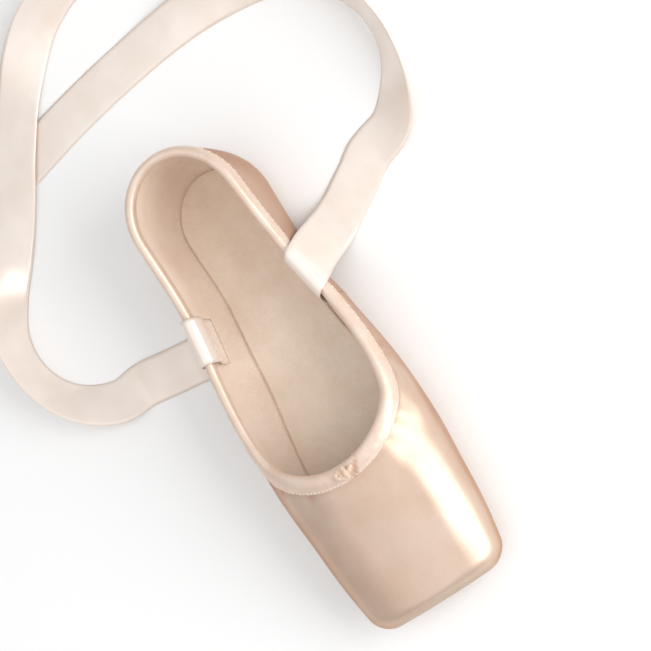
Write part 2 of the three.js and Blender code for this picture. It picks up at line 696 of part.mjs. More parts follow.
// Rows across a ribbon, each with its two edges and its middle, from the sewn end to the free end.
function ribbonRows(route, slantDegrees) {
  const slant = THREE.MathUtils.degToRad(slantDegrees);
  const half = RIBBON.width / 2;
  const collarPoint = (x) => lastPoint(footU(x), collarT(footU(x)));
  const edge = collarPoint(RIBBON.collarAt);
  const ahead = collarPoint(RIBBON.collarAt + half).sub(collarPoint(RIBBON.collarAt - half));
  const fall = ahead.z / Math.hypot(ahead.x, ahead.y);
  const run = ahead.setZ(0).normalize();
  const out = new THREE.Vector3(-run.y, run.x, 0);

  // Over the collar the rows stay parallel to its edge, also where the ribbon crosses it at a slant.
  // Down the outside they come level with the floor.
  const drape = new THREE.CatmullRomCurve3(
    RIBBON_DRAPE.map((r) => new THREE.Vector3(r.out, "high" in r ? r.high : edge.z + r.up, 0)),
  );
  const drapeLength = drape.getLength();
  const overEdge = 30;
  const nearEdge = 6;
  const rows = [];
  const drapeSteps = 28;
  for (let k = 0; k <= drapeSteps; k += 1) {
    const p = drape.getPointAt(k / drapeSteps);
    const shift = (overEdge - (drapeLength * k) / drapeSteps) * Math.tan(slant);
    const tilt = fall * THREE.MathUtils.smoothstep(p.y, 0, edge.z - nearEdge);
    const centre = edge.clone().addScaledVector(run, shift).addScaledVector(out, p.x);
    centre.setZ(p.y + tilt * shift);
    const across = run.clone().setZ(tilt).multiplyScalar(half / Math.cos(slant));
    rows.push([centre.clone().sub(across), centre, centre.clone().add(across)]);
  }

  // On the floor it lies flat where it runs straight and rises onto its edge where it turns.
  const from = rows[drapeSteps][1];
  const heading = from.clone().sub(rows[drapeSteps - 1][1]).setZ(0).normalize();
  const flat = (p) => new THREE.Vector3(p.x, p.y, 0);
  const path = [flat(from), flat(from).addScaledVector(heading, 15)];
  const pose = [new THREE.Vector3(), new THREE.Vector3()];
  route.forEach((r) => {
    path.push(new THREE.Vector3(r.at, r.out, 0));
    pose.push(new THREE.Vector3(r.lean, r.lift, 0));
  });
  const plan = new THREE.CatmullRomCurve3(path, false, "catmullrom", 0.5);
  const poses = new THREE.CatmullRomCurve3(pose, false, "catmullrom", 0.5);
  const lying = (t) => {
    const { x: degrees, y: lift } = poses.getPoint(t);
    const lean = THREE.MathUtils.degToRad(degrees);
    const height = RIBBON.thickness / 2 + 0.05 + Math.max(lift, 0) + half * Math.abs(Math.sin(lean));
    return { lean, centre: plan.getPoint(t).setZ(height) };
  };
  const fine = 900;
  const floorLength = RIBBON.length - drapeLength / Math.cos(slant);
  const floorSteps = 46;
  let before = lying(0).centre;
  let gone = 0;
  for (let k = 1; k <= fine; k += 1) {
    const { lean, centre } = lying(k / fine);
    gone += centre.distanceTo(before);
    before = centre;
    const wanted = (floorLength * (rows.length - drapeSteps)) / floorSteps;
    if (gone < wanted || gone > floorLength + 1) continue;
    const tangent = plan.getTangent(k / fine);
    const right = new THREE.Vector3(tangent.y, -tangent.x, 0).normalize();
    const across = right.multiplyScalar(Math.cos(lean)).setZ(Math.sin(lean)).multiplyScalar(half);
    rows.push([centre.clone().sub(across), centre, centre.clone().add(across)]);
  }
  return rows;
}

function ribbon(route, slantDegrees, side) {
  const rows = ribbonRows(route, slantDegrees);
  const put = (p) => (side > 0 ? p : flipY(p));
  const layers = rows.map((row, i) => {
    const next = rows[Math.min(i + 1, rows.length - 1)];
    const before = rows[Math.max(i - 1, 0)];
    return row.map((p, j) => {
      const tangent = next[j].clone().sub(before[j]);
      const across = row[Math.min(j + 1, 2)].clone().sub(row[Math.max(j - 1, 0)]);
      const facing = across.cross(tangent).normalize().multiplyScalar(RIBBON.thickness / 2);
      return [put(p.clone().add(facing)), put(p.clone().sub(facing))];
    });
  });
  const skin = newSkin();
  const quad = side > 0 ? skin.quad : (a, b, c, d) => skin.quad(a, d, c, b);
  const last = layers.length - 1;
  for (let i = 0; i < last; i += 1) {
    const a = layers[i];
    const b = layers[i + 1];
    for (let j = 0; j < 2; j += 1) {
      quad(a[j][0], a[j + 1][0], b[j + 1][0], b[j][0]);
      quad(a[j][1], b[j][1], b[j + 1][1], a[j + 1][1]);
    }
    quad(a[0][1], a[0][0], b[0][0], b[0][1]);
    quad(a[2][0], a[2][1], b[2][1], b[2][0]);
  }
  for (let j = 0; j < 2; j += 1) {
    quad(layers[0][j][1], layers[0][j + 1][1], layers[0][j + 1][0], layers[0][j][0]);
    quad(layers[last][j][0], layers[last][j + 1][0], layers[last][j + 1][1], layers[last][j][1]);
  }
  return skin.geometry();
}

const shoe = new THREE.Group();
shoe.name = "pointe_shoe";

function add(name, geometry, look) {
  const mesh = new THREE.Mesh(geometry, new THREE.MeshStandardMaterial(look));
  mesh.name = name;
  shoe.add(mesh);
}

add("upper", upper(), satin);
add("outsole", outsole(), leather);
add("insole", insole(), canvas);
add("binding", binding(), bound);
add("drawstring_knot", knot(), cotton);
add("ribbon_left", ribbon(LEFT_ROUTE, LEFT_SLANT, 1), ribbonSatin);
add("ribbon_right", ribbon(RIGHT_ROUTE, RIGHT_SLANT, -1), ribbonSatin);

export default shoe;
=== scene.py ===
import math

import bmesh
import bpy
import numpy as np
from mathutils import Matrix, Vector


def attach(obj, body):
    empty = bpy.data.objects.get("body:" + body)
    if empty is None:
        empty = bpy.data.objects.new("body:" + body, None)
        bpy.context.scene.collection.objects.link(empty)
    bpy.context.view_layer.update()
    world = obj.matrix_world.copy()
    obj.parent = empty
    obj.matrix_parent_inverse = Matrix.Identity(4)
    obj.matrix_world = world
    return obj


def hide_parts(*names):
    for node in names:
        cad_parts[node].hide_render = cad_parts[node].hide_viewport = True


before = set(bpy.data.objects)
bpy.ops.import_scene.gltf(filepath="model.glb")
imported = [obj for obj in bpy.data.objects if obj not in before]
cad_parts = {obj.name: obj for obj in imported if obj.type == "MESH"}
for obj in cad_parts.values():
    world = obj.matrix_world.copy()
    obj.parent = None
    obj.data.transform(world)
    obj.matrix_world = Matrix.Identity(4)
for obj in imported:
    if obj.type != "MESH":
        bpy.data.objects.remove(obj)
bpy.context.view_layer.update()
mm = 0.001  # the shoe is worked out in millimetres from the heel, and placed in metres

# The last: the solid form that the shoe is built on
last = {
    "length": 232.0,
    "ballWidth": 80.4,
    "instep": 50.0,  # height on the middle line at the ball
    "heelHeight": 53.5,  # collar at the back seam
    "sideHeight": 38.0,  # collar at its lowest
    "vamp": 68.0,  # platform to throat
    "heelCentre": 31.0,
    "corner": 9.5,  # rounding at the sides of the platform
    "edge": 3.4,  # rounding at its upper and lower edges
    "wall": 2.0,
    "gap": 0.3,
    "treadEnd": 0.3,
    "widestAt": 0.55,
    "archLift": 4.2,
    "arch": (52.0, 128.0),
    "toeSpring": 3.2,
    "springFrom": 176.0,
}
# shares of the length, of half the ball width and of the instep height
sections = [
    dict(at=0.134, half=0.72, widest=0.4, top=1.72, tread=0.74, cheek=0.6, shoulder=0.66),
    dict(at=0.3, half=0.75, widest=0.5, top=1.6, tread=0.66, cheek=0.55, shoulder=0.62),
    dict(at=0.43, half=0.88, widest=0.5, top=1.4, tread=0.62, cheek=0.55, shoulder=0.58),
    dict(at=0.56, half=0.975, widest=0.47, top=1.17, tread=0.69, cheek=0.58, shoulder=0.56),
    dict(at=0.677, half=1, widest=0.45, top=1, tread=0.74, cheek=0.6, shoulder=0.56),
    dict(at=0.8, half=0.965, widest=0.42, top=0.87, tread=0.75, cheek=0.6, shoulder=0.57),
    dict(at=0.9, half=0.918, widest=0.4, top=0.77, tread=0.71, cheek=0.62, shoulder=0.58),
    dict(at=1, half=0.825, widest=0.39, top=0.68, tread=0.64, cheek=0.62, shoulder=0.6),
]
collarBack = [
    dict(at=0, height=1),
    dict(at=0.13, height=0.83),
    dict(at=0.26, height=0.36),
    dict(at=0.4, height=0.02),
    dict(at=0.45, height=0),
]
collarFront = [
    dict(at=0.45, height=0),
    dict(at=0.53, height=0.03),
    dict(at=0.58, height=0.1),
    dict(at=0.62, height=0.24),
    dict(at=0.655, height=0.52),
    dict(at=0.681, height=0.77),
    dict(at=1 - last["vamp"] / last["length"], height=1),
]
solePlan = [
    dict(at=0, half=17),
    dict(at=0.14, half=18),
    dict(at=0.3, half=14),
    dict(at=0.42, half=13.5),
    dict(at=0.54, half=18.5),
    dict(at=0.67, half=24.5),
    dict(at=0.78, half=24),
    dict(at=1, half=19),
]
sole = {"back": 11.0, "front": 204.0, "backRound": 18.0, "frontRound": 24.0, "thickness": 2.6, "overlap": 7.0}


# smooth value of a table's column, at a place between its rows
def along(rows, column, at):
    ats = np.array([row["at"] for row in rows], float)
    values = np.array([row[column] for row in rows], float)
    slopes = np.zeros(len(rows))
    slopes[1:-1] = (values[2:] - values[:-2]) / (ats[2:] - ats[:-2])
    slopes[-1] = (values[-1] - values[-2]) / (ats[-1] - ats[-2])
    k = np.clip(np.searchsorted(ats, at) - 1, 0, len(rows) - 2)
    span = ats[k + 1] - ats[k]
    s = np.clip((at - ats[k]) / span, 0, 1)
    rise = s * s * (3 - 2 * s)
    tilt = span * (slopes[k] * s * (1 - s) ** 2 - slopes[k + 1] * s * s * (1 - s))
    return values[k] + (values[k + 1] - values[k]) * rise + tilt


def soleRise(x):
    archFrom, archTo = last["arch"]
    arch = last["archLift"] * np.sin(np.pi * np.clip((x - archFrom) / (archTo - archFrom), 0, 1)) ** 2
    toe = np.clip((x - last["springFrom"]) / (last["length"] - last["springFrom"]), 0, None)
    return arch + last["toeSpring"] * toe**2


def sectionAt(x):
    at = np.asarray(x, float) / last["length"]
    half = along(sections, "half", at) * last["ballWidth"] / 2
    return {
        "half": half,
        "bottom": soleRise(np.asarray(x, float)) + sole["thickness"] + last["gap"],
        "tread": along(sections, "tread", at) * half,
        "widest": along(sections, "widest", at) * last["instep"],
        "top": along(sections, "top", at) * last["instep"],
        "cheek": along(sections, "cheek", at),
        "shoulder": along(sections, "shoulder", at),
    }


# Bezier curve in one direction
def cubic(s, a, b, c, d):
    r = 1 - s
    return r**3 * a + 3 * r * r * s * b + 3 * r * s * s * c + s**3 * d


# place across and height on a section f, at the share t of the way from the sole's middle to the top
def girth(f, t):
    treadEnd, widestAt = last["treadEnd"], last["widestAt"]
    half, tread, bottom, widest, top = (f[key] for key in ("half", "tread", "bottom", "widest", "top"))
    low = np.clip((t - treadEnd) / (widestAt - treadEnd), 0, 1)
    high = np.clip((t - widestAt) / (1 - widestAt), 0, 1)
    lowY = cubic(low, tread, tread + f["cheek"] * (half - tread), half, half)
    lowZ = cubic(low, bottom, bottom, widest - f["cheek"] * (widest - bottom), widest)
    highY = cubic(high, half, half, f["shoulder"] * half, 0)
    highZ = cubic(high, widest, widest + f["shoulder"] * (top - widest), top, top)
    y = np.where(t <= treadEnd, tread * t / treadEnd, np.where(t <= widestAt, lowY, highY))
    z = np.where(t <= treadEnd, bottom, np.where(t <= widestAt, lowZ, highZ))
    return y, z


# outline of the platform, an oval set inside the last's end
def platformEdge(tip, t):
    y, z = girth(tip, t)
    middle = (tip["bottom"] + tip["top"]) / 2
    turn = np.arctan2((z - middle) / (tip["top"] - middle), y / tip["half"])
    edgeY = (tip["half"] - last["corner"]) * np.cos(turn)
    return edgeY, middle + (tip["top"] - middle - last["edge"]) * np.sin(turn)


toeFrom = last["length"] - last["corner"]


def footX(u):
    return last["heelCentre"] + (u - 1) * (toeFrom - last["heelCentre"])


def footU(x):
    return 1 + (x - last["heelCentre"]) / (toeFrom - last["heelCentre"])


# u runs 0 to 1 round the heel, to 2 along the foot, to 3 over the platform's edge; t from sole to top
def lastPoint(u, t):
    u, t = np.broadcast_arrays(np.asarray(u, float), np.asarray(t, float))
    heelSection = sectionAt(last["heelCentre"])
    y, z = girth(heelSection, t)
    turn = np.clip(u, 0, 1) * np.pi / 2
    reach = last["heelCentre"] / heelSection["half"]
    heel = np.stack([last["heelCentre"] - y * reach * np.cos(turn), y * np.sin(turn), z], -1)

    x = footX(np.clip(u, 1, 2))
    y, z = girth(sectionAt(x), t)
    foot = np.stack([x, y, z], -1)

    tip = sectionAt(last["length"])
    edgeY, edgeZ = platformEdge(tip, t)
    radius = last["edge"] + (last["corner"] - last["edge"]) * (girth(tip, t)[0] / tip["half"]) ** 2
    straight = last["corner"] - radius
    run = np.clip(u - 2, 0, 1) * (straight + radius * np.pi / 2)
    turn = np.clip(run - straight, 0, None) / radius
    x = toeFrom + np.minimum(run, straight) + radius * np.sin(turn)
    y, z = girth(sectionAt(x), t)
    share = 1 - np.cos(turn)
    toe = np.stack([x, y + (edgeY - y) * share, z + (edgeZ - z) * share], -1)
    return np.where((u <= 1)[..., None], heel, np.where((u <= 2)[..., None], foot, toe))


def lastSlopes(u, t):
    step = 2e-3
    uFrom, uTo = np.clip(u - step, 0, 3), np.clip(u + step, 0, 3)
    tFrom, tTo = np.clip(t - step, 0, 1), np.clip(t + step, 0, 1)
    du = (lastPoint(uTo, t) - lastPoint(uFrom, t)) / (uTo - uFrom)[..., None]
    dt = (lastPoint(u, tTo) - lastPoint(u, tFrom)) / (tTo - tFrom)[..., None]
    return du, dt


def unit(v):
    return v / np.maximum(np.linalg.norm(v, axis=-1, keepdims=True), 1e-12)


def lastFacing(u, t):
    du, dt = lastSlopes(u, t)
    return unit(np.cross(dt, du))


def offLast(u, t, out):
    p = lastPoint(u, t)
    moved = p + lastFacing(u, t) * np.asarray(out, float)[..., None]
    moved[..., 1] = np.where(np.abs(p[..., 1]) < 1e-6, 0, moved[..., 1])
    return moved


throatX = last["length"] - last["vamp"]
throatU = footU(throatX)
throatTop = float(sectionAt(throatX)["top"])


# where the collar cuts the last: halving finds the place that has the collar's height
def collarT(u):
    u = np.asarray(u, float)
    x = np.where(u <= 1, last["heelCentre"] * (1 - np.cos(np.clip(u, 0, 1) * np.pi / 2)), footX(u))
    at = x / last["length"]
    side = last["sideHeight"]
    back = side + (last["heelHeight"] - side) * along(collarBack, "height", at)
    front = side + (throatTop - side) * along(collarFront, "height", at)
    height = np.where(at < collarFront[0]["at"], back, front)
    f = sectionAt(np.maximum(x, last["heelCentre"]))
    low = np.full(u.shape, last["widestAt"])
    high = np.ones(u.shape)
    halvings = 40
    for _ in range(halvings):
        middle = (low + high) / 2
        below = girth(f, middle)[1] < height
        low = np.where(below, middle, low)
        high = np.where(below, high, middle)
    return np.where(u >= throatU, 1, (low + high) / 2)


# half the sole's width, drawn in from its edge by the inset
def soleHalf(x, inset):
    back, front = sole["back"] + inset, sole["front"] - inset
    backShare = np.clip((x - back) / (sole["backRound"] - inset), 0, 1)
    frontShare = np.clip((front - x) / (sole["frontRound"] - inset), 0, 1)
    ends = np.sqrt(1 - (1 - backShare) ** 2) * np.sqrt(1 - (1 - frontShare) ** 2)
    return (along(solePlan, "half", x / last["length"]) - inset) * ends


# edge of the satin under the sole
def openingT(u):
    u = np.asarray(u, float)
    x = np.maximum(np.where(u <= 1, last["heelCentre"], footX(u)), last["heelCentre"])
    share = soleHalf(x, sole["overlap"]) / sectionAt(x)["tread"] * last["treadEnd"]
    return np.where(u > 2, 0, share)


# Even places on the collar edge, from the throat to the back seam
def collarLine(count):
    steps = 1201
    fine = throatU * (1 - np.linspace(0, 1, steps) ** 2)  # closer together at the throat
    lengths = lengthsOf(lastPoint(fine, collarT(fine)))
    u = np.interp(np.linspace(0, lengths[-1], count + 1), lengths, fine)
    return u, collarT(u), lengths[-1]


# the place reached by going a distance over the last
def walkLast(u, t, direction, distance):
    steps = 4
    for _ in range(steps):
        du, dt = lastSlopes(u, t)
        uu, ut, tt = (du * du).sum(-1), (du * dt).sum(-1), (dt * dt).sum(-1)
        alongU = (du * direction).sum(-1) * distance / steps
        alongT = (dt * direction).sum(-1) * distance / steps
        area = uu * tt - ut * ut
        u = u + (alongU * tt - alongT * ut) / area
        t = np.minimum(t + (alongT * uu - alongU * ut) / area, 1)
    return u, t


def smooth(low, high, value):
    s = np.clip((value - low) / (high - low), 0, 1)
    return s * s * (3 - 2 * s)


# Smooth curve through points: even spacing of its knots, or by the root of the chord
def curveThrough(points, samples, chord):
    p = np.asarray(points, float)
    p = np.vstack([2 * p[0] - p[1], p, 2 * p[-1] - p[-2]])
    out = []
    for k in range(1, len(p) - 2):
        a, b, c, d = p[k - 1], p[k], p[k + 1], p[k + 2]
        if chord:
            before, here, after = (max(np.linalg.norm(q), 1e-4) ** 0.5 for q in (b - a, c - b, d - c))
            leave = ((b - a) / before - (c - a) / (before + here) + (c - b) / here) * here
            arrive = ((c - b) / here - (d - b) / (here + after) + (d - c) / after) * here
        else:
            leave, arrive = (c - a) / 2, (d - b) / 2
        s = np.linspace(0, 1, samples, endpoint=False)[:, None]
        bend = -3 * b + 3 * c - 2 * leave - arrive
        twist = 2 * b - 2 * c + leave + arrive
        out.append(b + leave * s + bend * s**2 + twist * s**3)
    return np.vstack(out + [p[-2:-1]])


def lengthsOf(points):
    return np.concatenate([[0], np.cumsum(np.linalg.norm(np.diff(points, axis=0), axis=1))])


def resample(points, count):
    lengths = lengthsOf(points)
    wanted = np.linspace(0, lengths[-1], count)
    return np.stack([np.interp(wanted, lengths, points[:, k]) for k in range(points.shape[1])], -1)


# quads between the rows and columns of a grid of points
def gridFaces(rows, columns, closedRows=False, closedColumns=False):
    i = np.arange(rows if closedRows else rows - 1)
    j = np.arange(columns if closedColumns else columns - 1)
    i, j = (a.ravel() for a in np.meshgrid(i, j, indexing="ij"))
    i2, j2 = (i + 1) % rows, (j + 1) % columns
    return np.stack([i * columns + j, i * columns + j2, i2 * columns + j2, i2 * columns + j], -1)


# an end cap across a flat ring, as quads between its two long sides
def strips(ring):
    count = len(ring)
    return [(ring[k], ring[k + 1], ring[count - 2 - k], ring[count - 1 - k]) for k in range(count // 2 - 1)]


# a flat bar: one ring of points for each row, closed at both ends
def ringFaces(rows, columns):
    faces = [tuple(f) for f in gridFaces(rows, columns, closedColumns=True)]
    firstRing = list(range(columns))
    lastRing = [(rows - 1) * columns + k for k in firstRing]
    return faces + strips(firstRing[::-1]) + strips(lastRing)


# from millimetres with the heel at 0 to metres with the shoe's middle at 0
def toFrame(points):
    moved = np.asarray(points, float).reshape(-1, 3).copy()
    moved[:, 0] -= last["length"] / 2
    return moved * mm


def newPiece(name, points, faces, material, marks=None, uv=None, weld=True):
    mesh = bpy.data.meshes.new(name)
    mesh.from_pydata(toFrame(points).tolist(), [], [list(map(int, face)) for face in faces])
    for key, values in (marks or {}).items():
        data = mesh.attributes.new(key, "FLOAT", "POINT").data
        data.foreach_set("value", np.asarray(values, np.float32).ravel())
    if uv is not None:
        corners = np.zeros(len(mesh.loops), np.int32)
        mesh.loops.foreach_get("vertex_index", corners)
        layer = mesh.uv_layers.new(name="UVMap")
        layer.data.foreach_set("uv", np.asarray(uv, np.float32).reshape(-1, 2)[corners].ravel())
    if weld:
        welded = bmesh.new()
        welded.from_mesh(mesh)
        bmesh.ops.remove_doubles(welded, verts=welded.verts, dist=2e-6)
        bmesh.ops.dissolve_degenerate(welded, edges=welded.edges, dist=1e-7)
        welded.to_mesh(mesh)
        welded.free()
    mesh.polygons.foreach_set("use_smooth", [True] * len(mesh.polygons))
    mesh.materials.append(material)
    mesh.update()
    piece = bpy.data.objects.new(name, mesh)
    bpy.context.collection.objects.link(piece)
    return piece


# Shader maths: a wire is a socket that can be added, scaled and joined to new nodes
class Wire:
    def __init__(self, tree, socket=None):
        self.tree = tree
        self.socket = socket

    def node(self, kind, settings=None, inputs=None, output=0):
        made = self.tree.nodes.new(kind)
        for key, value in (settings or {}).items():
            setattr(made, key, value)
        for key, value in (inputs or {}).items():
            if isinstance(value, Wire):
                self.tree.links.new(value.socket, made.inputs[key])
            else:
                made.inputs[key].default_value = value
        return Wire(self.tree, made.outputs[output])

    def math(self, operation, first, second=0.0):
        return self.node("ShaderNodeMath", {"operation": operation}, {0: first, 1: second})

    def __add__(self, other):
        return self.math("ADD", self, other)

    def __radd__(self, other):
        return self.math("ADD", other, self)

    def __sub__(self, other):
        return self.math("SUBTRACT", self, other)

    def __rsub__(self, other):
        return self.math("SUBTRACT", other, self)

    def __mul__(self, other):
        return self.math("MULTIPLY", self, other)

    def __rmul__(self, other):
        return self.math("MULTIPLY", other, self)

    def clipped(self, low, high):
        span = {0: self, 1: low, 2: high}
        return self.node("ShaderNodeMapRange", {"interpolation_type": "SMOOTHSTEP"}, span)

    def tint(self, first, second):
        return self.node("ShaderNodeMix", {"data_type": "RGBA"}, {0: self, 6: first, 7: second}, 2)


# screen colour made linear
def rgb(red, green, blue):
    linear = [((value / 255 + 0.055) / 1.055) ** 2.4 for value in (red, green, blue)]
    return (*linear, 1.0)


def newMaterial(name, constants):
    material = bpy.data.materials.new(name)
    material.use_nodes = True
    shader = material.node_tree.nodes["Principled BSDF"]
    for key, value in constants.items():
        shader.inputs[key].default_value = value
    return material, shader, Wire(material.node_tree)


def plug(wire, shader, **sockets):
    for key, value in sockets.items():
        wire.tree.links.new(value.socket, shader.inputs[key.replace("_", " ")])


def objectPlace(wire, scale=(1, 1, 1)):
    place = wire.node("ShaderNodeTexCoord", output=3)
    return wire.node("ShaderNodeMapping", {"vector_type": "POINT"}, {0: place, 3: scale})


def uvPlace(wire, scale):
    place = wire.node("ShaderNodeUVMap", {"uv_map": "UVMap"})
    return wire.node("ShaderNodeMapping", {"vector_type": "POINT"}, {0: place, 3: scale})


def noise(wire, place, scale, detail=2.0, rough=0.5):
    inputs = {"Vector": place, "Scale": scale, "Detail": detail, "Roughness": rough}
    return wire.node("ShaderNodeTexNoise", None, inputs)


def mark(wire, name):
    return wire.node("ShaderNodeAttribute", {"attribute_name": name}, output=2)


def bumped(wire, height, distance, strength):
    inputs = {"Height": height, "Distance": distance, "Strength": strength}
    return wire.node("ShaderNodeBump", None, inputs)


# Satin of the upper: long floats of thread, faint slubs, wear on the platform's rim with painted shade there
# too, painted shade in the folds
satinLook = {
    "pale": rgb(217, 195, 178),
    "deep": rgb(209, 182, 162),
    # painted shade for the folds, puckers, pleats, the drawn-in hem and the sunk seam line
    "foldShade": rgb(186, 138, 106),
    # colour of the platform and its rim: scuffed wear, darkened further as painted shade
    "wornAndShaded": rgb(191, 171, 151),
    "grazing": rgb(188, 128, 90),  # tint of the threads seen along the cloth
    "gloss": 0.38,
    "metal": 0.7,  # the bright reflections of satin
    "wornMetal": 0.12,
    "wornRough": 0.62,
}


def satinMaterial():
    constants = {
        "Specular IOR Level": 0.45,
        "Specular Tint": satinLook["grazing"],
        "Coat Weight": 0.05,
        "Coat Roughness": 0.25,
    }
    material, shader, wire = newMaterial("peachSatin", constants)
    threads = noise(wire, objectPlace(wire, (90, 900, 900)), 1.0, 2.0)
    clouds = noise(wire, objectPlace(wire), 38.0, 3.0)
    weave = noise(wire, objectPlace(wire, (600, 3200, 3200)), 1.0, 1.0)
    foldShade = mark(wire, "foldShade")
    rim = mark(wire, "rim")
    tone = (threads * 0.2 + clouds * 0.8).clipped(0.3, 0.7)
    colour = tone.tint(satinLook["deep"], satinLook["pale"])
    # painted shade in the folds, puckers, pleats and the sunk seam line
    colour = (foldShade * 0.75).tint(colour, satinLook["foldShade"])
    # the platform's rim: real scuffs and wear that dull the satin, and painted shade darkening its colour
    scuffs = noise(wire, objectPlace(wire), 160.0, 4.0, 0.6).clipped(0.2, 0.8)
    wearAndShade = (rim * 0.75 + rim * scuffs * 0.5).clipped(0.15, 1.0)
    colour = (wearAndShade * 0.85).tint(colour, satinLook["wornAndShaded"])
    duller = satinLook["wornRough"] - satinLook["gloss"]
    gloss = satinLook["gloss"] + (threads - 0.5) * 0.04 + wearAndShade * duller
    metal = satinLook["metal"] + wearAndShade * (satinLook["wornMetal"] - satinLook["metal"])
    height = threads * 0.6 + weave * 0.4
    normal = bumped(wire, height, 0.00002, 0.4)
    plug(wire, shader, Base_Color=colour, Roughness=gloss, Metallic=metal, Normal=normal)
    return material


# Satin tape of the binding, with its weave running round the edge
bindingLook = {
    "pale": rgb(235, 214, 198),
    "deep": rgb(226, 200, 181),
    # painted shade in the notch beside the knot and in the gathers' troughs
    "foldShade": rgb(196, 155, 130),
    "gloss": 0.4,
}


def bindingMaterial():
    constants = {"Metallic": 0.4, "Specular IOR Level": 0.45, "Sheen Weight": 0.08, "Sheen Roughness": 0.4}
    material, shader, wire = newMaterial("bindingSatin", constants)
    ribs = noise(wire, uvPlace(wire, (900, 120, 1)), 1.0, 2.0)
    clouds = noise(wire, objectPlace(wire), 90.0, 3.0)
    colour = (ribs * 0.25 + clouds * 0.75).clipped(0.28, 0.72).tint(bindingLook["deep"], bindingLook["pale"])
    # painted shade in the notch and the gathers' troughs
    colour = (mark(wire, "foldShade") * 0.8).tint(colour, bindingLook["foldShade"])
    gloss = bindingLook["gloss"] + (ribs - 0.5) * 0.05
    plug(wire, shader, Base_Color=colour, Roughness=gloss, Normal=bumped(wire, ribs, 0.00003, 0.4))
    return material


# Double-faced ribbon: fine cords across its width, a firm selvedge on both edges
ribbonLook = {
    "pale": rgb(246, 235, 226),
    "deep": rgb(240, 226, 215),
    "selvedge": rgb(236, 219, 206),
    "gloss": 0.3,
}


def ribbonMaterial():
    constants = {"Metallic": 0.25, "Specular IOR Level": 0.5, "Sheen Weight": 0.08, "Sheen Roughness": 0.4}
    material, shader, wire = newMaterial("ribbonSatin", constants)
    threads = noise(wire, uvPlace(wire, (2600, 60, 1)), 1.0, 2.0)
    picks = noise(wire, uvPlace(wire, (40, 1900, 1)), 1.0, 1.0)
    clouds = noise(wire, objectPlace(wire), 60.0, 2.0)
    colour = (threads * 0.2 + clouds * 0.8).clipped(0.28, 0.72).tint(ribbonLook["deep"], ribbonLook["pale"])
    edge = mark(wire, "selvedge")
    colour = (edge * 0.65).tint(colour, ribbonLook["selvedge"])
    gloss = ribbonLook["gloss"] + (threads - 0.5) * 0.03 + edge * 0.1
    height = threads * 0.6 + picks * 0.4 + edge * 0.5
    plug(wire, shader, Base_Color=colour, Roughness=gloss, Normal=bumped(wire, height, 0.00002, 0.3))
    return material


# Plain cotton cloth, woven over and under; pitch of the weave and relief in metres
liningLook = {"pale": rgb(242, 226, 211), "deep": rgb(230, 208, 190), "pitch": 0.0011, "relief": 0.00012}
sockLook = {"pale": rgb(240, 225, 209), "deep": rgb(226, 206, 187), "pitch": 0.0016, "relief": 0.0002}


def cottonMaterial(name, look):
    constants = {"Specular IOR Level": 0.2, "Sheen Weight": 0.15, "Sheen Roughness": 0.5}
    material, shader, wire = newMaterial(name, constants)
    turns = 2 * math.pi / look["pitch"]
    place = wire.node("ShaderNodeTexCoord", output=3)
    apart = wire.node("ShaderNodeSeparateXYZ", None, {0: place})
    x, y, z = (Wire(wire.tree, apart.socket.node.outputs[k]) for k in range(3))
    warp = wire.math("SINE", x * turns)
    weft = wire.math("SINE", (y + z) * turns)
    weave = warp * weft
    clouds = noise(wire, objectPlace(wire), 70.0, 4.0, 0.6)
    fuzz = noise(wire, objectPlace(wire), 900.0, 2.0)
    tone = (clouds * 0.8 + fuzz * 0.2 + weave * 0.05).clipped(0.16, 0.84)
    colour = tone.tint(look["deep"], look["pale"])
    height = weave * 0.5 + fuzz * 0.5
    rough = 0.8 + fuzz * 0.12
    plug(wire, shader, Base_Color=colour, Roughness=rough, Normal=bumped(wire, height, look["relief"], 0.7))
    return material


# Buffed leather with a napped tread, darker at its cut edge and rubbed where it meets the floor
leatherLook = {
    "pale": rgb(205, 176, 146),
    "deep": rgb(176, 141, 110),
    "edge": rgb(139, 104, 77),
    "rubbed": rgb(214, 196, 174),
}


def leatherMaterial():
    constants = {"Specular IOR Level": 0.3, "Sheen Weight": 0.12, "Sheen Roughness": 0.5}
    material, shader, wire = newMaterial("soleLeather", constants)
    nap = noise(wire, objectPlace(wire), 260.0, 5.0, 0.62)
    clouds = noise(wire, objectPlace(wire), 34.0, 3.0)
    scuffs = noise(wire, objectPlace(wire, (60, 420, 60)), 1.0, 3.0, 0.6).clipped(0.56, 0.72)
    pores = wire.node("ShaderNodeTexVoronoi", None, {"Vector": objectPlace(wire), "Scale": 1300.0})
    colour = (nap * 0.4 + clouds * 0.6).clipped(0.34, 0.66).tint(leatherLook["deep"], leatherLook["pale"])
    colour = (mark(wire, "edge") * 0.85).tint(colour, leatherLook["edge"])
    rubbed = mark(wire, "rubbed") * scuffs
    colour = (rubbed * 0.6).tint(colour, leatherLook["rubbed"])
    rough = 0.62 + nap * 0.2 - rubbed * 0.15
    height = nap * 0.7 + pores * 0.3 - scuffs * 0.3
    plug(wire, shader, Base_Color=colour, Roughness=rough, Normal=bumped(wire, height, 0.00016, 0.7))
    return material


# Twisted cotton cord and sewing thread
cordLook = {"pale": rgb(234, 212, 193), "deep": rgb(212, 181, 157)}
threadLook = {"pale": rgb(250, 236, 224), "deep": rgb(236, 210, 192)}


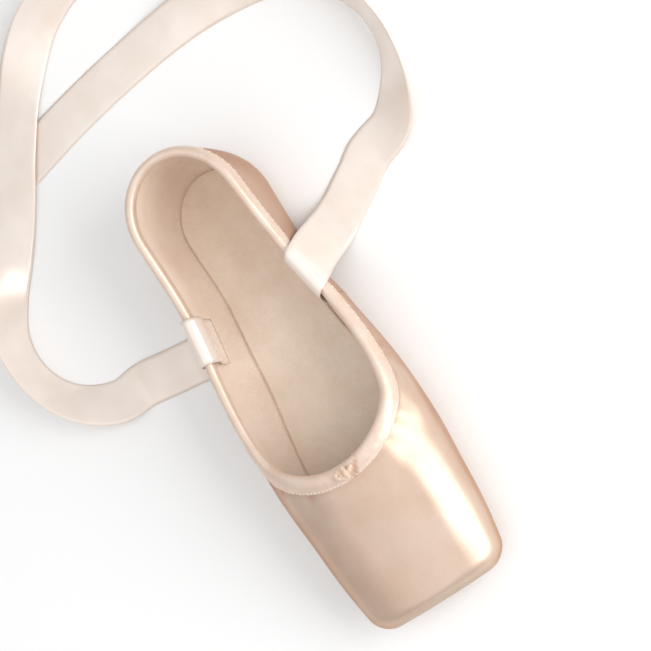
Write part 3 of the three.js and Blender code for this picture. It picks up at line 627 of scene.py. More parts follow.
def threadMaterial(name, look):
    constants = {"Specular IOR Level": 0.3, "Sheen Weight": 0.2, "Sheen Roughness": 0.45}
    material, shader, wire = newMaterial(name, constants)
    fibres = noise(wire, objectPlace(wire), 1400.0, 3.0)
    clouds = noise(wire, objectPlace(wire), 320.0, 2.0)
    colour = (fibres * 0.5 + clouds * 0.5).clipped(0.32, 0.66).tint(look["deep"], look["pale"])
    rough = 0.6 + fibres * 0.2
    plug(wire, shader, Base_Color=colour, Roughness=rough, Normal=bumped(wire, fibres, 0.0001, 0.6))
    return material


peachSatin = satinMaterial()
bindingSatin = bindingMaterial()
ribbonSatin = ribbonMaterial()
liningCotton = cottonMaterial("liningCotton", liningLook)
sockCanvas = cottonMaterial("sockCanvas", sockLook)
soleLeather = leatherMaterial()
cottonCord = threadMaterial("cottonCord", cordLook)
peachThread = threadMaterial("peachThread", threadLook)
print("materials made")

# Camera, at the photograph's angle to the shoe
cameraLook = {
    "roll": 17.0,  # degrees towards the shoe's left
    "pitch": 11.3,  # degrees towards the toe
    "distance": 900.0,
    "platform": (116.0, 0.0, 20.0),  # a point on the platform's upper edge, in the frame
    "alongFoot": -128.2,  # from that point to the middle of the picture
    "acrossFoot": 17.6,
    "rightMix": (0.523, 0.853),  # picture's right in terms of along and across
    "seen": 283.0,  # width of the picture at the shoe
    "sensor": 36.0,
}


def aimCamera():
    roll, pitch = math.radians(cameraLook["roll"]), math.radians(cameraLook["pitch"])
    back = Vector((math.sin(pitch), math.cos(pitch) * math.sin(roll), math.cos(pitch) * math.cos(roll)))
    alongFoot = Vector((1, 0, 0)) - back * back.x
    alongFoot.normalize()
    acrossFoot = back.cross(alongFoot)
    middle = Vector(cameraLook["platform"])
    middle += alongFoot * cameraLook["alongFoot"] + acrossFoot * cameraLook["acrossFoot"]
    right = (alongFoot * cameraLook["rightMix"][0] + acrossFoot * cameraLook["rightMix"][1]).normalized()
    up = back.cross(right)
    turn = Matrix((right, up, back)).transposed().to_4x4()
    turn.translation = (middle + back * cameraLook["distance"]) * mm
    camera = bpy.data.cameras.new("camera")
    camera.sensor_width = cameraLook["sensor"]
    camera.lens = cameraLook["sensor"] * cameraLook["distance"] / cameraLook["seen"]
    camera.clip_start = 0.01
    holder = bpy.data.objects.new("camera", camera)
    bpy.context.collection.objects.link(holder)
    holder.matrix_world = turn
    bpy.context.scene.camera = holder


aimCamera()
print("camera aimed")

# Ribbons: sewn inside the quarters, over the collar and then along the floor
ribbonSize = {
    "width": 22.0,
    "thickness": 0.42,
    "length": 450.0,
    "collarAt": 80.0,
    "overEdge": 30.0,  # where the ribbon crosses the collar, along its length
    "nearEdge": 6.0,  # the rows follow the collar's fall down to here
    "leadOut": 15.0,
    "drapeRows": 70,
    "floorRows": 190,
    "columns": 13,
    "turnInto": 34.0,  # over this length the slanted rows come square to the ribbon
    "floorHeight": 0.3,
    "cup": 0.5,
    "ripple": 0.35,
    "longRipple": 19.0,
    "shortRipple": 8.3,
    "slackFrom": 40.0,  # held flat up to here, and free of the shoe from slackTo on
    "slackTo": 110.0,
    "calmEnd": 25.0,  # the ripples fade towards the free end
    "selvedgeFrom": 0.9,  # shares of half the width
    "selvedgeTo": 0.97,
    "selvedgeThick": 0.35,
    "thinEdge": 0.55,
    "lowest": 0.04,  # clear of the floor
}
# out from the collar edge, up from it; then down the outside, height above the floor
ribbonOver = [
    (-3.2, -19), (-2.5, -14), (-3.3, -9), (-4.8, -4.5), (-5, -0.5), (-3.9, 2.6), (-1, 4.1), (1.8, 2.7),
    (3.1, -1.2), (3.5, -8), (4.2, -16), (5.6, -25),
]
ribbonDown = [(9.6, 5.4), (17, 1), (26, 0.3), (34, 0.3)]
# place along the shoe from the heel, place out to the side, lean onto the edge, lift off the floor
leftRoute = [
    (40, 89, 12, 0), (28, 100, 36, 0), (12, 107, 56, 0), (-6, 108, 66, 0), (-23, 103, 68, 0),
    (-38, 92, 62, 0), (-49, 77, 48, 0), (-56, 59, 30, 0), (-60, 39, 14, 0), (-61, 18, 4, 0),
    (-60, -4, 0, 0), (-58, -26, 0, 0), (-55, -48, 0, 0), (-51, -70, 0, 0), (-47, -92, 0, 0),
    (-42, -113, 4, 0), (-33, -141, 8, 0),
]
rightRoute = [
    (72, 93, 14, 0), (64, 107, 38, 0), (51, 117, 58, 0), (35, 122, 68, 0), (18, 121, 66, 0), (1, 114, 50, 0),
    (-15, 104, 26, 0.3), (-31, 93, 6, 1), (-47, 82, 0, 1.7), (-63, 71, 0, 1.8), (-79, 59, 3, 1.2),
    (-92, 45, 22, 0.2), (-102, 28, 44, 0), (-107, 9, 58, 0), (-107, -11, 56, 0), (-103, -31, 36, 0),
    (-96, -50, 14, 0), (-83, -79, 2, 0),
]


def ribbonRows(route, slantDegrees):
    slant = math.radians(slantDegrees)
    half = ribbonSize["width"] / 2
    around = footU(ribbonSize["collarAt"] + np.array([-half, 0, half]))
    before, edge, after = lastPoint(around, collarT(around))
    ahead = after - before
    fall = ahead[2] / math.hypot(ahead[0], ahead[1])
    run = unit(ahead * (1, 1, 0))
    out = np.array([-run[1], run[0], 0])

    over = [(o, edge[2] + up) for o, up in ribbonOver] + ribbonDown
    drape = resample(curveThrough(over, 30, True), ribbonSize["drapeRows"])
    gone = lengthsOf(drape)
    shift = (ribbonSize["overEdge"] - gone) * math.tan(slant)
    tilt = fall * smooth(0, edge[2] - ribbonSize["nearEdge"], drape[:, 1])
    centres = edge + run * shift[:, None] + out * drape[:, :1]
    centres[:, 2] = drape[:, 1] + tilt * shift
    across = np.tile(run, (len(drape), 1))
    across[:, 2] = tilt
    across *= half / math.cos(slant)

    heading = unit((centres[-1] - centres[-2]) * (1, 1, 0))
    start = centres[-1, :2]
    plan = np.vstack([start, start + heading[:2] * ribbonSize["leadOut"], [row[:2] for row in route]])
    pose = np.vstack([(0, 0), (0, 0), [row[2:] for row in route]])
    fine = curveThrough(np.hstack([plan, pose]), 60, False)
    lean = np.radians(fine[:, 2])
    height = ribbonSize["floorHeight"] + np.maximum(fine[:, 3], 0) + half * np.abs(np.sin(lean))
    lying = np.column_stack([fine[:, :2], height, lean])
    floorLength = ribbonSize["length"] - gone[-1] / math.cos(slant)
    lengths = lengthsOf(lying[:, :3])
    wanted = np.linspace(0, floorLength, ribbonSize["floorRows"] + 1)[1:]
    floor = np.stack([np.interp(wanted, lengths, lying[:, k]) for k in range(4)], -1)
    tangent = unit(np.gradient(floor[:, :2], axis=0))
    square = np.column_stack([tangent[:, 1], -tangent[:, 0]])

    # the first rows on the floor turn from the collar's line to square across the ribbon
    share = smooth(0, ribbonSize["turnInto"], wanted)[:, None]
    mixed = unit(run[:2] * (1 - share) + square * share)
    mixed = mixed / np.maximum((mixed * square).sum(-1, keepdims=True), 0.5)
    side = np.column_stack([mixed * np.cos(floor[:, 3:]), np.sin(floor[:, 3])]) * half
    return np.vstack([centres, floor[:, :3]]), np.vstack([across, side])


def ribbonPiece(name, node, route, slantDegrees, side, seed):
    centres, across = ribbonRows(route, slantDegrees)
    flip = np.array([1, side, 1])
    centres, across = centres * flip, across * flip
    share = np.linspace(-1, 1, ribbonSize["columns"])
    tangent = unit(np.gradient(centres, axis=0))
    facing = unit(np.cross(across, tangent)) * side
    gone = lengthsOf(centres)

    # a slight cup across the width, and long shallow ripples as soft ribbon has
    waves = np.sin(gone / ribbonSize["longRipple"] + seed) * 0.6
    waves += np.sin(gone / ribbonSize["shortRipple"] + 2 * seed) * 0.4
    free = smooth(ribbonSize["slackFrom"], ribbonSize["slackTo"], gone)
    free *= 1 - 0.5 * smooth(0, ribbonSize["calmEnd"], gone[-1] - gone - 1)
    bow = (1 - share**2)[None, :] * (ribbonSize["cup"] * free)[:, None]
    roll = (share[None, :] * waves[:, None] + np.abs(waves)[:, None]) * (ribbonSize["ripple"] * free)[:, None]
    lift = np.sign(facing[:, 2:3] + 1e-9) * (bow + roll)
    middle = centres[:, None] + across[:, None] * share[None, :, None] + facing[:, None] * lift[..., None]
    low = ribbonSize["thickness"] / 2 + ribbonSize["lowest"]
    middle[..., 2] = np.maximum(middle[..., 2], low)

    # the selvedge is a little thicker than the ribbon
    edge = smooth(ribbonSize["selvedgeFrom"], ribbonSize["selvedgeTo"], np.abs(share))
    thick = ribbonSize["thickness"] / 2 * (1 + ribbonSize["selvedgeThick"] * edge)
    thick *= np.where(np.abs(share) > 0.99, ribbonSize["thinEdge"], 1)
    upper = middle + facing[:, None] * thick[None, :, None]
    lower = middle - facing[:, None] * thick[None, :, None]
    ring = np.concatenate([upper, lower[:, ::-1]], 1)
    rows, columns = ring.shape[:2]
    faces = ringFaces(rows, columns)
    faces = faces if side > 0 else [f[::-1] for f in faces]
    spread = np.concatenate([share, share[::-1]]) * ribbonSize["width"] / 2 * mm
    uv = np.stack(np.broadcast_arrays(spread[None, :], (gone * mm)[:, None]), -1)
    edges = np.tile(np.concatenate([edge, edge[::-1]]), rows)
    piece = newPiece(name, ring, faces, ribbonSatin, {"selvedge": edges}, uv, weld=False)
    path = toFrame(centres)
    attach(piece, "root")
    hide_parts(node)
    return centres, across, facing


leftSewn = ribbonPiece("ribbonLeft", "ribbon_left", leftRoute, 20, 1, 0.4)
rightSewn = ribbonPiece("ribbonRight", "ribbon_right", rightRoute, 0, -1, 1.7)
print("ribbons laid")

# Upper: satin outside, cotton lining inside
upperSize = {
    "satin": 0.95,  # thickness of satin and stiffened canvas together
    "liningFrom": 1.05,
    "seamAt": 92.0,  # side seam from the heel
    "seamLean": 5.0,  # how far it leans forward from sole to collar
    "seamHigh": 0.32,
    "seamWelt": 1.5,
    "seamLine": 0.42,
    "wobble": 0.16,  # slight unevenness all over
    "drawAt": 6.8,  # the satin is drawn in along the binding's hem
    "drawWide": 1.3,
    "drawDeep": 0.16,
    "columns": (22, 22, 44),  # under the tread, up the cheek, over the shoulder
    "liningColumns": (8, 12, 20),
    "toeRows": 15,
    "platformRings": 9,
}
# Pleats of the satin under the toe, round the front of the sole
pleatSize = {
    "count": 21,
    "high": 0.85,
    "reach": 17.0,
    "centre": 176.0,  # they point to here
    "ring": 27.0,  # and start this far from it
    "frontZone": 12.0,  # length of the sole's end that counts as its front
    "steep": 0.22,  # share of a pleat that falls
    "fadeUp": (0.36, 0.5),
    "fadeIn": (158.0, 176.0),
    "fadeOut": (221.0, 228.0),
}
# puckers beside the binding: distance from the throat along the collar on that side, length, depth, width
puckers = [
    dict(side=1, at=57, long=9, deep=0.42, wide=1.5),
    dict(side=1, at=63, long=12, deep=0.5, wide=1.7),
    dict(side=1, at=69.5, long=8, deep=0.4, wide=1.4),
    dict(side=1, at=76, long=7, deep=0.32, wide=1.3),
    dict(side=1, at=22, long=7, deep=0.22, wide=1.6),
    dict(side=1, at=30, long=9, deep=0.26, wide=1.7),
    dict(side=-1, at=19, long=7, deep=0.22, wide=1.6),
    dict(side=-1, at=33, long=8, deep=0.26, wide=1.7),
    dict(side=-1, at=46, long=9, deep=0.36, wide=1.6),
    dict(side=-1, at=53, long=8, deep=0.34, wide=1.5),
    dict(side=-1, at=60, long=7, deep=0.3, wide=1.4),
]
# soft troughs (deep above 0) and ridges on the vamp and quarters: ends as place from the heel and girth share
creases = [
    dict(side=1, start=(158, 0.805), end=(175, 0.785), deep=0.6, wide=4.5),
    dict(side=1, start=(138, 0.565), end=(164, 0.625), deep=-1.2, wide=6.5),
    dict(side=1, start=(152, 0.7), end=(226, 0.745), deep=0.6, wide=8),
    dict(side=1, start=(172, 0.8), end=(224, 0.825), deep=-0.3, wide=6),
    dict(side=1, start=(178, 0.855), end=(224, 0.87), deep=0.4, wide=5.5),
    dict(side=1, start=(173, 0.955), end=(206, 0.935), deep=-0.3, wide=8),
    dict(side=-1, start=(182, 0.93), end=(216, 0.96), deep=0.25, wide=6),
    dict(side=-1, start=(149, 0.84), end=(178, 0.82), deep=0.4, wide=6),
    dict(side=-1, start=(160, 0.74), end=(212, 0.76), deep=-0.3, wide=9),
    dict(side=1, start=(66, 0.62), end=(84, 0.5), deep=0.35, wide=4),
    dict(side=-1, start=(64, 0.64), end=(82, 0.5), deep=0.35, wide=4),
    dict(side=1, start=(104, 0.66), end=(128, 0.56), deep=0.4, wide=5),
    dict(side=-1, start=(108, 0.66), end=(130, 0.56), deep=0.4, wide=5),
]


# rows of the upper, closer together at the seams, the throat and the toe
def upperStations():
    backSeam = 0.07
    seamFrom, seamTo = upperSize["seamAt"] - 3, upperSize["seamAt"] + 8
    nearThroat = 28
    soleEnd = footU(sole["front"] - sole["overlap"])
    pieces = [
        np.linspace(0, backSeam, 9)[:-1],
        np.linspace(backSeam, 1, 31)[:-1],
        footU(np.linspace(last["heelCentre"], seamFrom, 44)[:-1]),
        footU(np.linspace(seamFrom, seamTo, 31)[:-1]),
        footU(np.linspace(seamTo, throatX - nearThroat, 27)[:-1]),
        footU(throatX - nearThroat * (1 - np.linspace(0, 1, 41)) ** 2)[:-1],
        np.linspace(throatU, soleEnd, 25)[:-1],
        np.linspace(soleEnd, 2, 22)[:-1],
        np.linspace(2, 3, upperSize["toeRows"]),
    ]
    return np.concatenate(pieces)


def upperColumns(u, counts):
    start, end = openingT(u)[:, None], collarT(u)[:, None]
    treadEnd, widestAt = last["treadEnd"], last["widestAt"]
    tread, cheek, shoulder = (np.linspace(0, 1, count + 1)[:-1][None] for count in counts)
    parts = [
        start + (treadEnd - start) * tread,
        treadEnd + (widestAt - treadEnd) * np.repeat(cheek, len(u), 0),
        widestAt + (end - widestAt) * shoulder,
        end,
    ]
    return np.concatenate(parts, 1)


collarFineU, collarFineT, collarHalf = collarLine(420)
collarFine = lastPoint(collarFineU, collarFineT)


# Distance of points on the left half to the collar edge, and the place of the nearest edge point
def nearCollar(points):
    flat = points.reshape(-1, 3)
    place, distance = np.zeros(len(flat)), np.zeros(len(flat))
    batch = 4000  # points at a time, to spare memory
    for k in range(0, len(flat), batch):
        some = slice(k, k + batch)
        gaps = ((flat[some, None] - collarFine[None]) ** 2).sum(-1)
        nearest = gaps.argmin(1)
        place[some] = nearest * collarHalf / (len(collarFine) - 1)
        distance[some] = np.sqrt(gaps[np.arange(len(nearest)), nearest])
    return place.reshape(points.shape[:-1]), distance.reshape(points.shape[:-1])


# slow waves and shorter ones, as cloth has that was pasted by hand
def wobble(p):
    x, y, z = p[..., 0], p[..., 1], p[..., 2]
    slow = np.sin(x * 0.071 + 0.4) * np.sin(y * 0.093 + z * 0.06 + 1.1)
    short = np.sin(x * 0.16 + y * 0.11 + 2.0) * np.sin(z * 0.13 + 0.7)
    return 0.6 * slow + 0.4 * short


# each crease is soft across and fades out past its ends
def creaseRelief(p):
    relief = np.zeros(p.shape[:-1])
    for crease in creases:
        places = np.array([crease["start"], crease["end"]], float)
        a, b = lastPoint(footU(places[:, 0]), places[:, 1]) * np.array([1, crease["side"], 1])
        run = b - a
        s = ((p - a) @ run) / (run @ run)
        off = np.linalg.norm(p - a - np.clip(s, 0, 1)[..., None] * run, axis=-1)
        ends = smooth(-0.25, 0.2, s) * (1 - smooth(0.75, 1.25, s))
        relief -= crease["deep"] * np.exp(-((off / crease["wide"]) ** 2)) * ends
    return relief


# folds of the satin drawn in under the front of the sole: steep on one side, slack on the other, with painted
# shade in each pleat's trough
def pleatRelief(p, side, t):
    x, across = p[..., 0], p[..., 1] * side
    ahead = x - pleatSize["centre"]
    angle = np.arctan2(across, np.maximum(ahead, -40))
    lean = 0.35 * np.sin(3.1 * angle + 0.6)
    phase = (angle / np.pi * pleatSize["count"] + lean) % 1
    slack = 1 - pleatSize["steep"]
    saw = np.where(phase < slack, phase / slack, (1 - phase) / pleatSize["steep"])
    uneven = 0.75 + 0.25 * np.sin(angle * 9.7 + 1.3)
    besideSole = np.abs(p[..., 1]) - soleHalf(x, 0)
    outOfRing = np.maximum(np.hypot(np.maximum(ahead, 0), across) - pleatSize["ring"], 0)
    beforeSole = np.minimum(outOfRing, np.maximum(besideSole, x - sole["front"]))
    beyond = np.where(x > sole["front"] - pleatSize["frontZone"], beforeSole, besideSole)
    near = smooth(-1.5, 1.5, beyond) * (1 - smooth(3, pleatSize["reach"], beyond))
    under = 1 - smooth(*pleatSize["fadeUp"], t)
    front = smooth(*pleatSize["fadeIn"], x) * (1 - smooth(*pleatSize["fadeOut"], x))
    mask = near * under * front * uneven
    # the second value is painted shade, darkest in each pleat's trough
    return pleatSize["high"] * (saw - 0.5) * mask, (1 - saw) ** 3 * mask


# height of the satin's relief, and the painted shade of its folds, puckers, pleats and seam line
def upperRelief(p, u, t, side):
    place, below = nearCollar(p)
    actual = p * np.array([1, side, 1])
    relief = upperSize["wobble"] * wobble(actual) * smooth(5, 16, below) * smooth(0.3, 0.5, t)
    relief += creaseRelief(actual) * smooth(4, 9, below)
    foldShade = np.zeros(p.shape[:-1])
    for row in puckers:
        if row["side"] != side:
            continue
        across = np.exp(-(((place - row["at"]) / row["wide"]) ** 2))
        ridge = np.exp(-(((place - row["at"] - 1.9 * row["wide"]) / row["wide"]) ** 2))
        reach = smooth(4.2, 6.2, below) * (1 - smooth(7, 6 + row["long"], below))
        relief += row["deep"] * reach * (0.7 * ridge - across)
        # painted shade in the pucker's trough
        foldShade += 0.55 * across * reach
    draw = np.exp(-(((below - upperSize["drawAt"]) / upperSize["drawWide"]) ** 2))
    relief -= upperSize["drawDeep"] * draw
    # painted shade along the drawn-in hem
    foldShade += 0.22 * draw

    # side seam and back seam: a low welt with the seam line sunk in it, and painted shade in that line
    lean = upperSize["seamAt"] + upperSize["seamLean"] * smooth(0.3, 0.75, t)
    off = np.where(u < 0.5, np.abs(p[..., 1]), np.abs(p[..., 0] - lean))
    sewn = smooth(0.34, 0.4, t) * smooth(2, 4, below)
    welt = np.exp(-((off / upperSize["seamWelt"]) ** 2))
    line = np.exp(-((off / upperSize["seamLine"]) ** 2))
    relief += sewn * upperSize["seamHigh"] * (welt - 1.5 * line)
    # painted shade in the sunk seam line
    foldShade += sewn * 0.8 * line

    pleats, pleatShade = pleatRelief(p, side, t)
    return relief + pleats, np.clip(foldShade + 0.8 * pleatShade, 0, 1)


# A wall between two depths on the last, with both halves, its rims and a flat platform
def shellPiece(name, u, t, outer, inner, material, relief):
    rows, columns = t.shape
    uu = np.broadcast_to(u[:, None], t.shape)
    base = lastPoint(uu, t)
    facing = lastFacing(uu, t)
    onMiddle = np.abs(base[..., 1]) < 1e-6
    rings = upperSize["platformRings"]
    shrink = (1 - np.linspace(0, 1, rings + 1)[1:-1]) ** 0.8
    rim = smooth(2.45, 2.95, uu)  # wear and painted shade start on the platform's edge
    plain = np.zeros(t.shape)
    points, faces, foldShades, rims = [], [], [], []
    for side in (1, -1):
        bump, foldShade = upperRelief(base, uu, t, side) if relief else (plain, plain)
        for depth in (outer, inner):
            layer = base + facing * (bump - depth)[..., None]
            layer[..., 1] = np.where(onMiddle, 0, layer[..., 1])
            end = layer[-1]
            middle = np.array([end[:, 0].mean(), 0, (end[0, 2] + end[-1, 2]) / 2])
            disc = [middle + (end - middle) * k for k in shrink]
            whole = np.vstack([layer.reshape(-1, 3)] + disc + [middle[None]]) * np.array([1, side, 1])
            first = sum(len(q) for q in points)
            points.append(whole)
            foldShades.append(np.concatenate([foldShade.ravel(), np.zeros(len(whole) - foldShade.size)]))
            rims.append(np.concatenate([rim.ravel(), np.ones(len(whole) - foldShade.size)]))
            grid = gridFaces(rows + rings - 1, columns) + first
            centre = first + len(whole) - 1
            ring = centre - columns
            fan = [(ring + j, ring + j + 1, centre) for j in range(columns - 1)]
            made = [tuple(f) for f in grid] + fan
            outward = (depth == outer) == (side > 0)
            faces += made if outward else [f[::-1] for f in made]
        half = len(points[-1])
        inside, outside = first, first - half
        for i in range(rows - 1):
            for j, isRim in ((0, openingT(u[i]) > 0), (columns - 1, collarT(u[i]) < 1)):
                if not isRim:
                    continue
                a, b = i * columns + j, (i + 1) * columns + j
                quad = (outside + a, outside + b, inside + b, inside + a)
                faces.append(quad if (j == 0) == (side > 0) else quad[::-1])
    marks = {"foldShade": np.concatenate(foldShades), "rim": np.concatenate(rims)}
    return newPiece(name, np.vstack(points), faces, material, marks)


def makeUpper():
    u = upperStations()
    t = upperColumns(u, upperSize["columns"])
    satin = shellPiece("satinUpper", u, t, 0, upperSize["satin"], peachSatin, True)
    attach(satin, "root")
    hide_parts("upper")
    toeRows = upperSize["toeRows"]
    # the lining has half the rows, but all of them at the toe
    coarse = np.concatenate([u[:-toeRows:2], u[-toeRows:]])
    t = upperColumns(coarse, upperSize["liningColumns"])
    lining = shellPiece("cottonLining", coarse, t, upperSize["liningFrom"], last["wall"], liningCotton, False)
    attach(lining, "root")


makeUpper()
print("upper lasted")

# Binding folded over the collar edge, with the drawstring inside it
bindingSize = {
    "rows": 300,
    "crown": 2.3,  # radius of the fold over the edge
    "bends": (25, 48, 70, 90, 110, 132, 155),  # degrees round that fold
    "off": 0.1,
    "offLining": 0.12,
}
# below the edge, out from the satin: from the outer hem up over the casing
bindingOuter = [
    (6.0, 0.1), (6.06, 0.34), (5.9, 0.58), (5.5, 0.7), (5.0, 0.72), (4.5, 0.78), (4.0, 0.95), (3.3, 1.2),
    (2.6, 1.38), (1.9, 1.45), (1.2, 1.4), (0.5, 1.3),
]
bindingInner = [(0.6, -3.3), (1.8, -3.4), (3.0, -3.2), (4.2, -2.8), (4.9, -2.62), (5.0, -2.4), (4.9, -2.12)]
gathers = {"pitch": 5.1, "high": 0.05, "throatHigh": 0.08, "throatReach": 26.0}
# fold in the casing beside the knot, with a lip along it; its sunk part also gets painted shade, standing for
# the knot's shadow
notch = {"at": 3.9, "lean": 0.75, "deep": 0.6, "wide": 1.1, "lipAt": 1.7, "lipHigh": 0.35, "lipWide": 0.9}


# directions along the collar, out of the satin and down from the edge
def collarFrame(u, t, points):
    run = unit(np.gradient(points, axis=0))
    run[0] = (0, 1, 0)
    run[-1] = (0, -1, 0)
    facing = lastFacing(u, t)
    facing[[0, -1], 1] = 0
    facing = unit(facing)
    return run, facing, unit(np.cross(run, facing))


def bindingRelief(place, side, below):
    s = place * side
    wave = np.sin(s / gathers["pitch"] * 2 * np.pi + 1.7 * np.sin(s / 23))
    high = gathers["high"] + gathers["throatHigh"] * np.exp(-((place / gathers["throatReach"]) ** 2))
    body = np.exp(-(((below - 2.4) / 1.8) ** 2))
    off = s - notch["at"] - notch["lean"] * (4 - below)
    outside = smooth(-3, 1, below)
    sunk = np.exp(-((off / notch["wide"]) ** 2)) * outside
    lip = np.exp(-(((off - notch["lipAt"]) / notch["lipWide"]) ** 2)) * outside
    relief = high * (wave - 0.4) * body - notch["deep"] * sunk + notch["lipHigh"] * lip
    # the second value is painted shade in the notch and in the gathers' troughs
    return relief, sunk + np.clip(-wave, 0, 1) * body * high


def makeBinding():
    count = bindingSize["rows"] // 2
    u, t, half = collarLine(count)
    points = lastPoint(u, t)
    _, facing, down = collarFrame(u, t, points)
    place = np.linspace(0, half, count + 1)
    crown = bindingSize["crown"]
    middleDepth = last["wall"] / 2
    bends = [np.radians(bend) for bend in bindingSize["bends"]]
    lift = -bindingSize["off"]
    profile = [(below, out, True) for below, out in bindingOuter]
    profile += [(-crown * np.sin(bend), crown * np.cos(bend) - middleDepth, True) for bend in bends]
    profile += [(below, out, False) for below, out in bindingInner]
    profile += [(lift, -last["wall"] - bindingSize["offLining"], False), (lift, bindingSize["off"], False)]
    sides = []
    for side in (1, -1):
        columns, foldShades = [], []
        for below, out, shown in profile:
            relief, foldShade = bindingRelief(place, side, below)
            relief = relief if shown else np.zeros(count + 1)
            away = np.full(count + 1, out) + relief
            if below > 0:
                wu, wt = walkLast(u, t, down, below)
                column = offLast(wu, wt, away)
            else:
                column = points + facing * away[:, None] + down * below
            column[[0, -1], 1] = 0
            columns.append(column * np.array([1, side, 1]))
            foldShades.append(np.clip(foldShade, 0, 1) if shown else np.zeros(count + 1))
        sides.append((np.stack(columns, 1), np.stack(foldShades, 1)))
    # the two halves agree on the middle line
    sides[1][0][[0, -1]] = sides[0][0][[0, -1]]
    ring = np.concatenate([sides[0][0], sides[1][0][::-1][1:-1]])
    foldShades = np.concatenate([sides[0][1], sides[1][1][::-1][1:-1]])
    rows, columns = ring.shape[:2]
    faces = gridFaces(rows, columns, True, True)[:, ::-1]
    distance = np.concatenate([place, 2 * half - place[::-1][1:-1]]) * mm
    reach = lengthsOf(np.array([row[:2] for row in profile])) * mm
    uv = np.stack(np.broadcast_arrays(distance[:, None], reach[None, :]), -1)
    piece = newPiece("collarBinding", ring, faces, bindingSatin, {"foldShade": foldShades.ravel()}, uv, weld=False)
    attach(piece, "root")
    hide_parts("binding")


makeBinding()
print("collar bound")

# Stitches: one capsule of thread on each point, laid along its own line and facing
stitchSize = {
    "thread": 0.42,
    "long": 2.1,
    "slack": 0.12,  # share by which a stitch may be shorter
    "seed": 7,
    "pitch": 1.75,
    "below": 5.25,
    "out": 0.78,
    "slew": 38.0,  # degrees of the zigzag
}


def stitchTree():
    tree = bpy.data.node_groups.new("stitchRow", "GeometryNodeTree")
    tree.interface.new_socket("Geometry", in_out="INPUT", socket_type="NodeSocketGeometry")
    for name, kind, value in (
        ("Stitch Length", "NodeSocketFloat", stitchSize["long"] * mm),
        ("Thread", "NodeSocketFloat", stitchSize["thread"] * mm),
        ("Slack", "NodeSocketFloat", stitchSize["slack"]),
        ("Seed", "NodeSocketInt", stitchSize["seed"]),
    ):
        tree.interface.new_socket(name, in_out="INPUT", socket_type=kind).default_value = value
    tree.interface.new_socket("Finish", in_out="INPUT", socket_type="NodeSocketMaterial")
    tree.interface.new_socket("Geometry", in_out="OUTPUT", socket_type="NodeSocketGeometry")

    def node(kind, settings=None, **inputs):
        made = tree.nodes.new(kind)
        for key, value in (settings or {}).items():
            setattr(made, key, value)
        for key, value in inputs.items():
            socket = made.inputs[key.replace("_", " ")]
            if isinstance(value, bpy.types.NodeSocket):
                tree.links.new(value, socket)
            else:
                socket.default_value = value
        return made

    given = node("NodeGroupInput").outputs
    line = node("GeometryNodeInputNamedAttribute", {"data_type": "FLOAT_VECTOR"}, Name="runs").outputs[0]
    face = node("GeometryNodeInputNamedAttribute", {"data_type": "FLOAT_VECTOR"}, Name="faces").outputs[0]
    turned = node("FunctionNodeAlignRotationToVector", {"axis": "X"}, Vector=line).outputs[0]
    upright = {"axis": "Z", "pivot_axis": "X"}
    turned = node("FunctionNodeAlignRotationToVector", upright, Rotation=turned, Vector=face)
    ball = node("GeometryNodeMeshUVSphere", None, Segments=6, Rings=5, Radius=0.5).outputs[0]
    long, thread = given["Stitch Length"], given["Thread"]
    size = node("ShaderNodeCombineXYZ", None, X=long, Y=thread, Z=thread).outputs[0]
    capsule = node("GeometryNodeTransform", None, Geometry=ball, Scale=size).outputs[0]
    low = node("ShaderNodeMath", {"operation": "SUBTRACT"})
    low.inputs[0].default_value = 1.0
    tree.links.new(given["Slack"], low.inputs[1])
    slack = node("FunctionNodeRandomValue", {"data_type": "FLOAT"}, Seed=given["Seed"])
    tree.links.new(low.outputs[0], slack.inputs[2])
    slack.inputs[3].default_value = 1.0
    spots = {"Points": given["Geometry"], "Instance": capsule}
    pose = {"Rotation": turned.outputs[0], "Scale": slack.outputs[1]}
    placed = node("GeometryNodeInstanceOnPoints", None, **spots, **pose)
    real = node("GeometryNodeRealizeInstances", None, Geometry=placed.outputs[0])
    finished = node("GeometryNodeSetMaterial", None, Geometry=real.outputs[0], Material=given["Finish"])
    tree.links.new(finished.outputs[0], node("NodeGroupOutput").inputs[0])
    return tree


stitchRow = stitchTree()


def stitchInputs(size):
    return {
        "Stitch Length": size["long"] * mm,
        "Thread": size["thread"] * mm,
        "Slack": size["slack"],
        "Seed": size["seed"],
        "Finish": peachThread,
    }


def sewStitches(name, places, runs, faces, size):
    mesh = bpy.data.meshes.new(name + "Places")
    mesh.from_pydata(toFrame(places).tolist(), [], [])
    for key, values in (("runs", runs), ("faces", faces)):
        data = mesh.attributes.new(key, "FLOAT_VECTOR", "POINT").data
        data.foreach_set("vector", np.asarray(values, np.float32).ravel())
    holder = bpy.data.objects.new(name + "Places", mesh)
    bpy.context.collection.objects.link(holder)
    modifier = holder.modifiers.new("stitches", "NODES")
    modifier.node_group = stitchRow
    values = stitchInputs(size)
    for item in stitchRow.interface.items_tree:
        if item.item_type == "SOCKET" and item.in_out == "INPUT" and item.name in values:
            modifier[item.identifier] = values[item.name]
    ready = holder.evaluated_get(bpy.context.evaluated_depsgraph_get())
    sewn = bpy.data.meshes.new_from_object(ready)
    sewn.name = name
    bpy.data.objects.remove(holder)
    sewn.polygons.foreach_set("use_smooth", [True] * len(sewn.polygons))
    piece = bpy.data.objects.new(name, sewn)
    bpy.context.collection.objects.link(piece)
    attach(piece, "root")


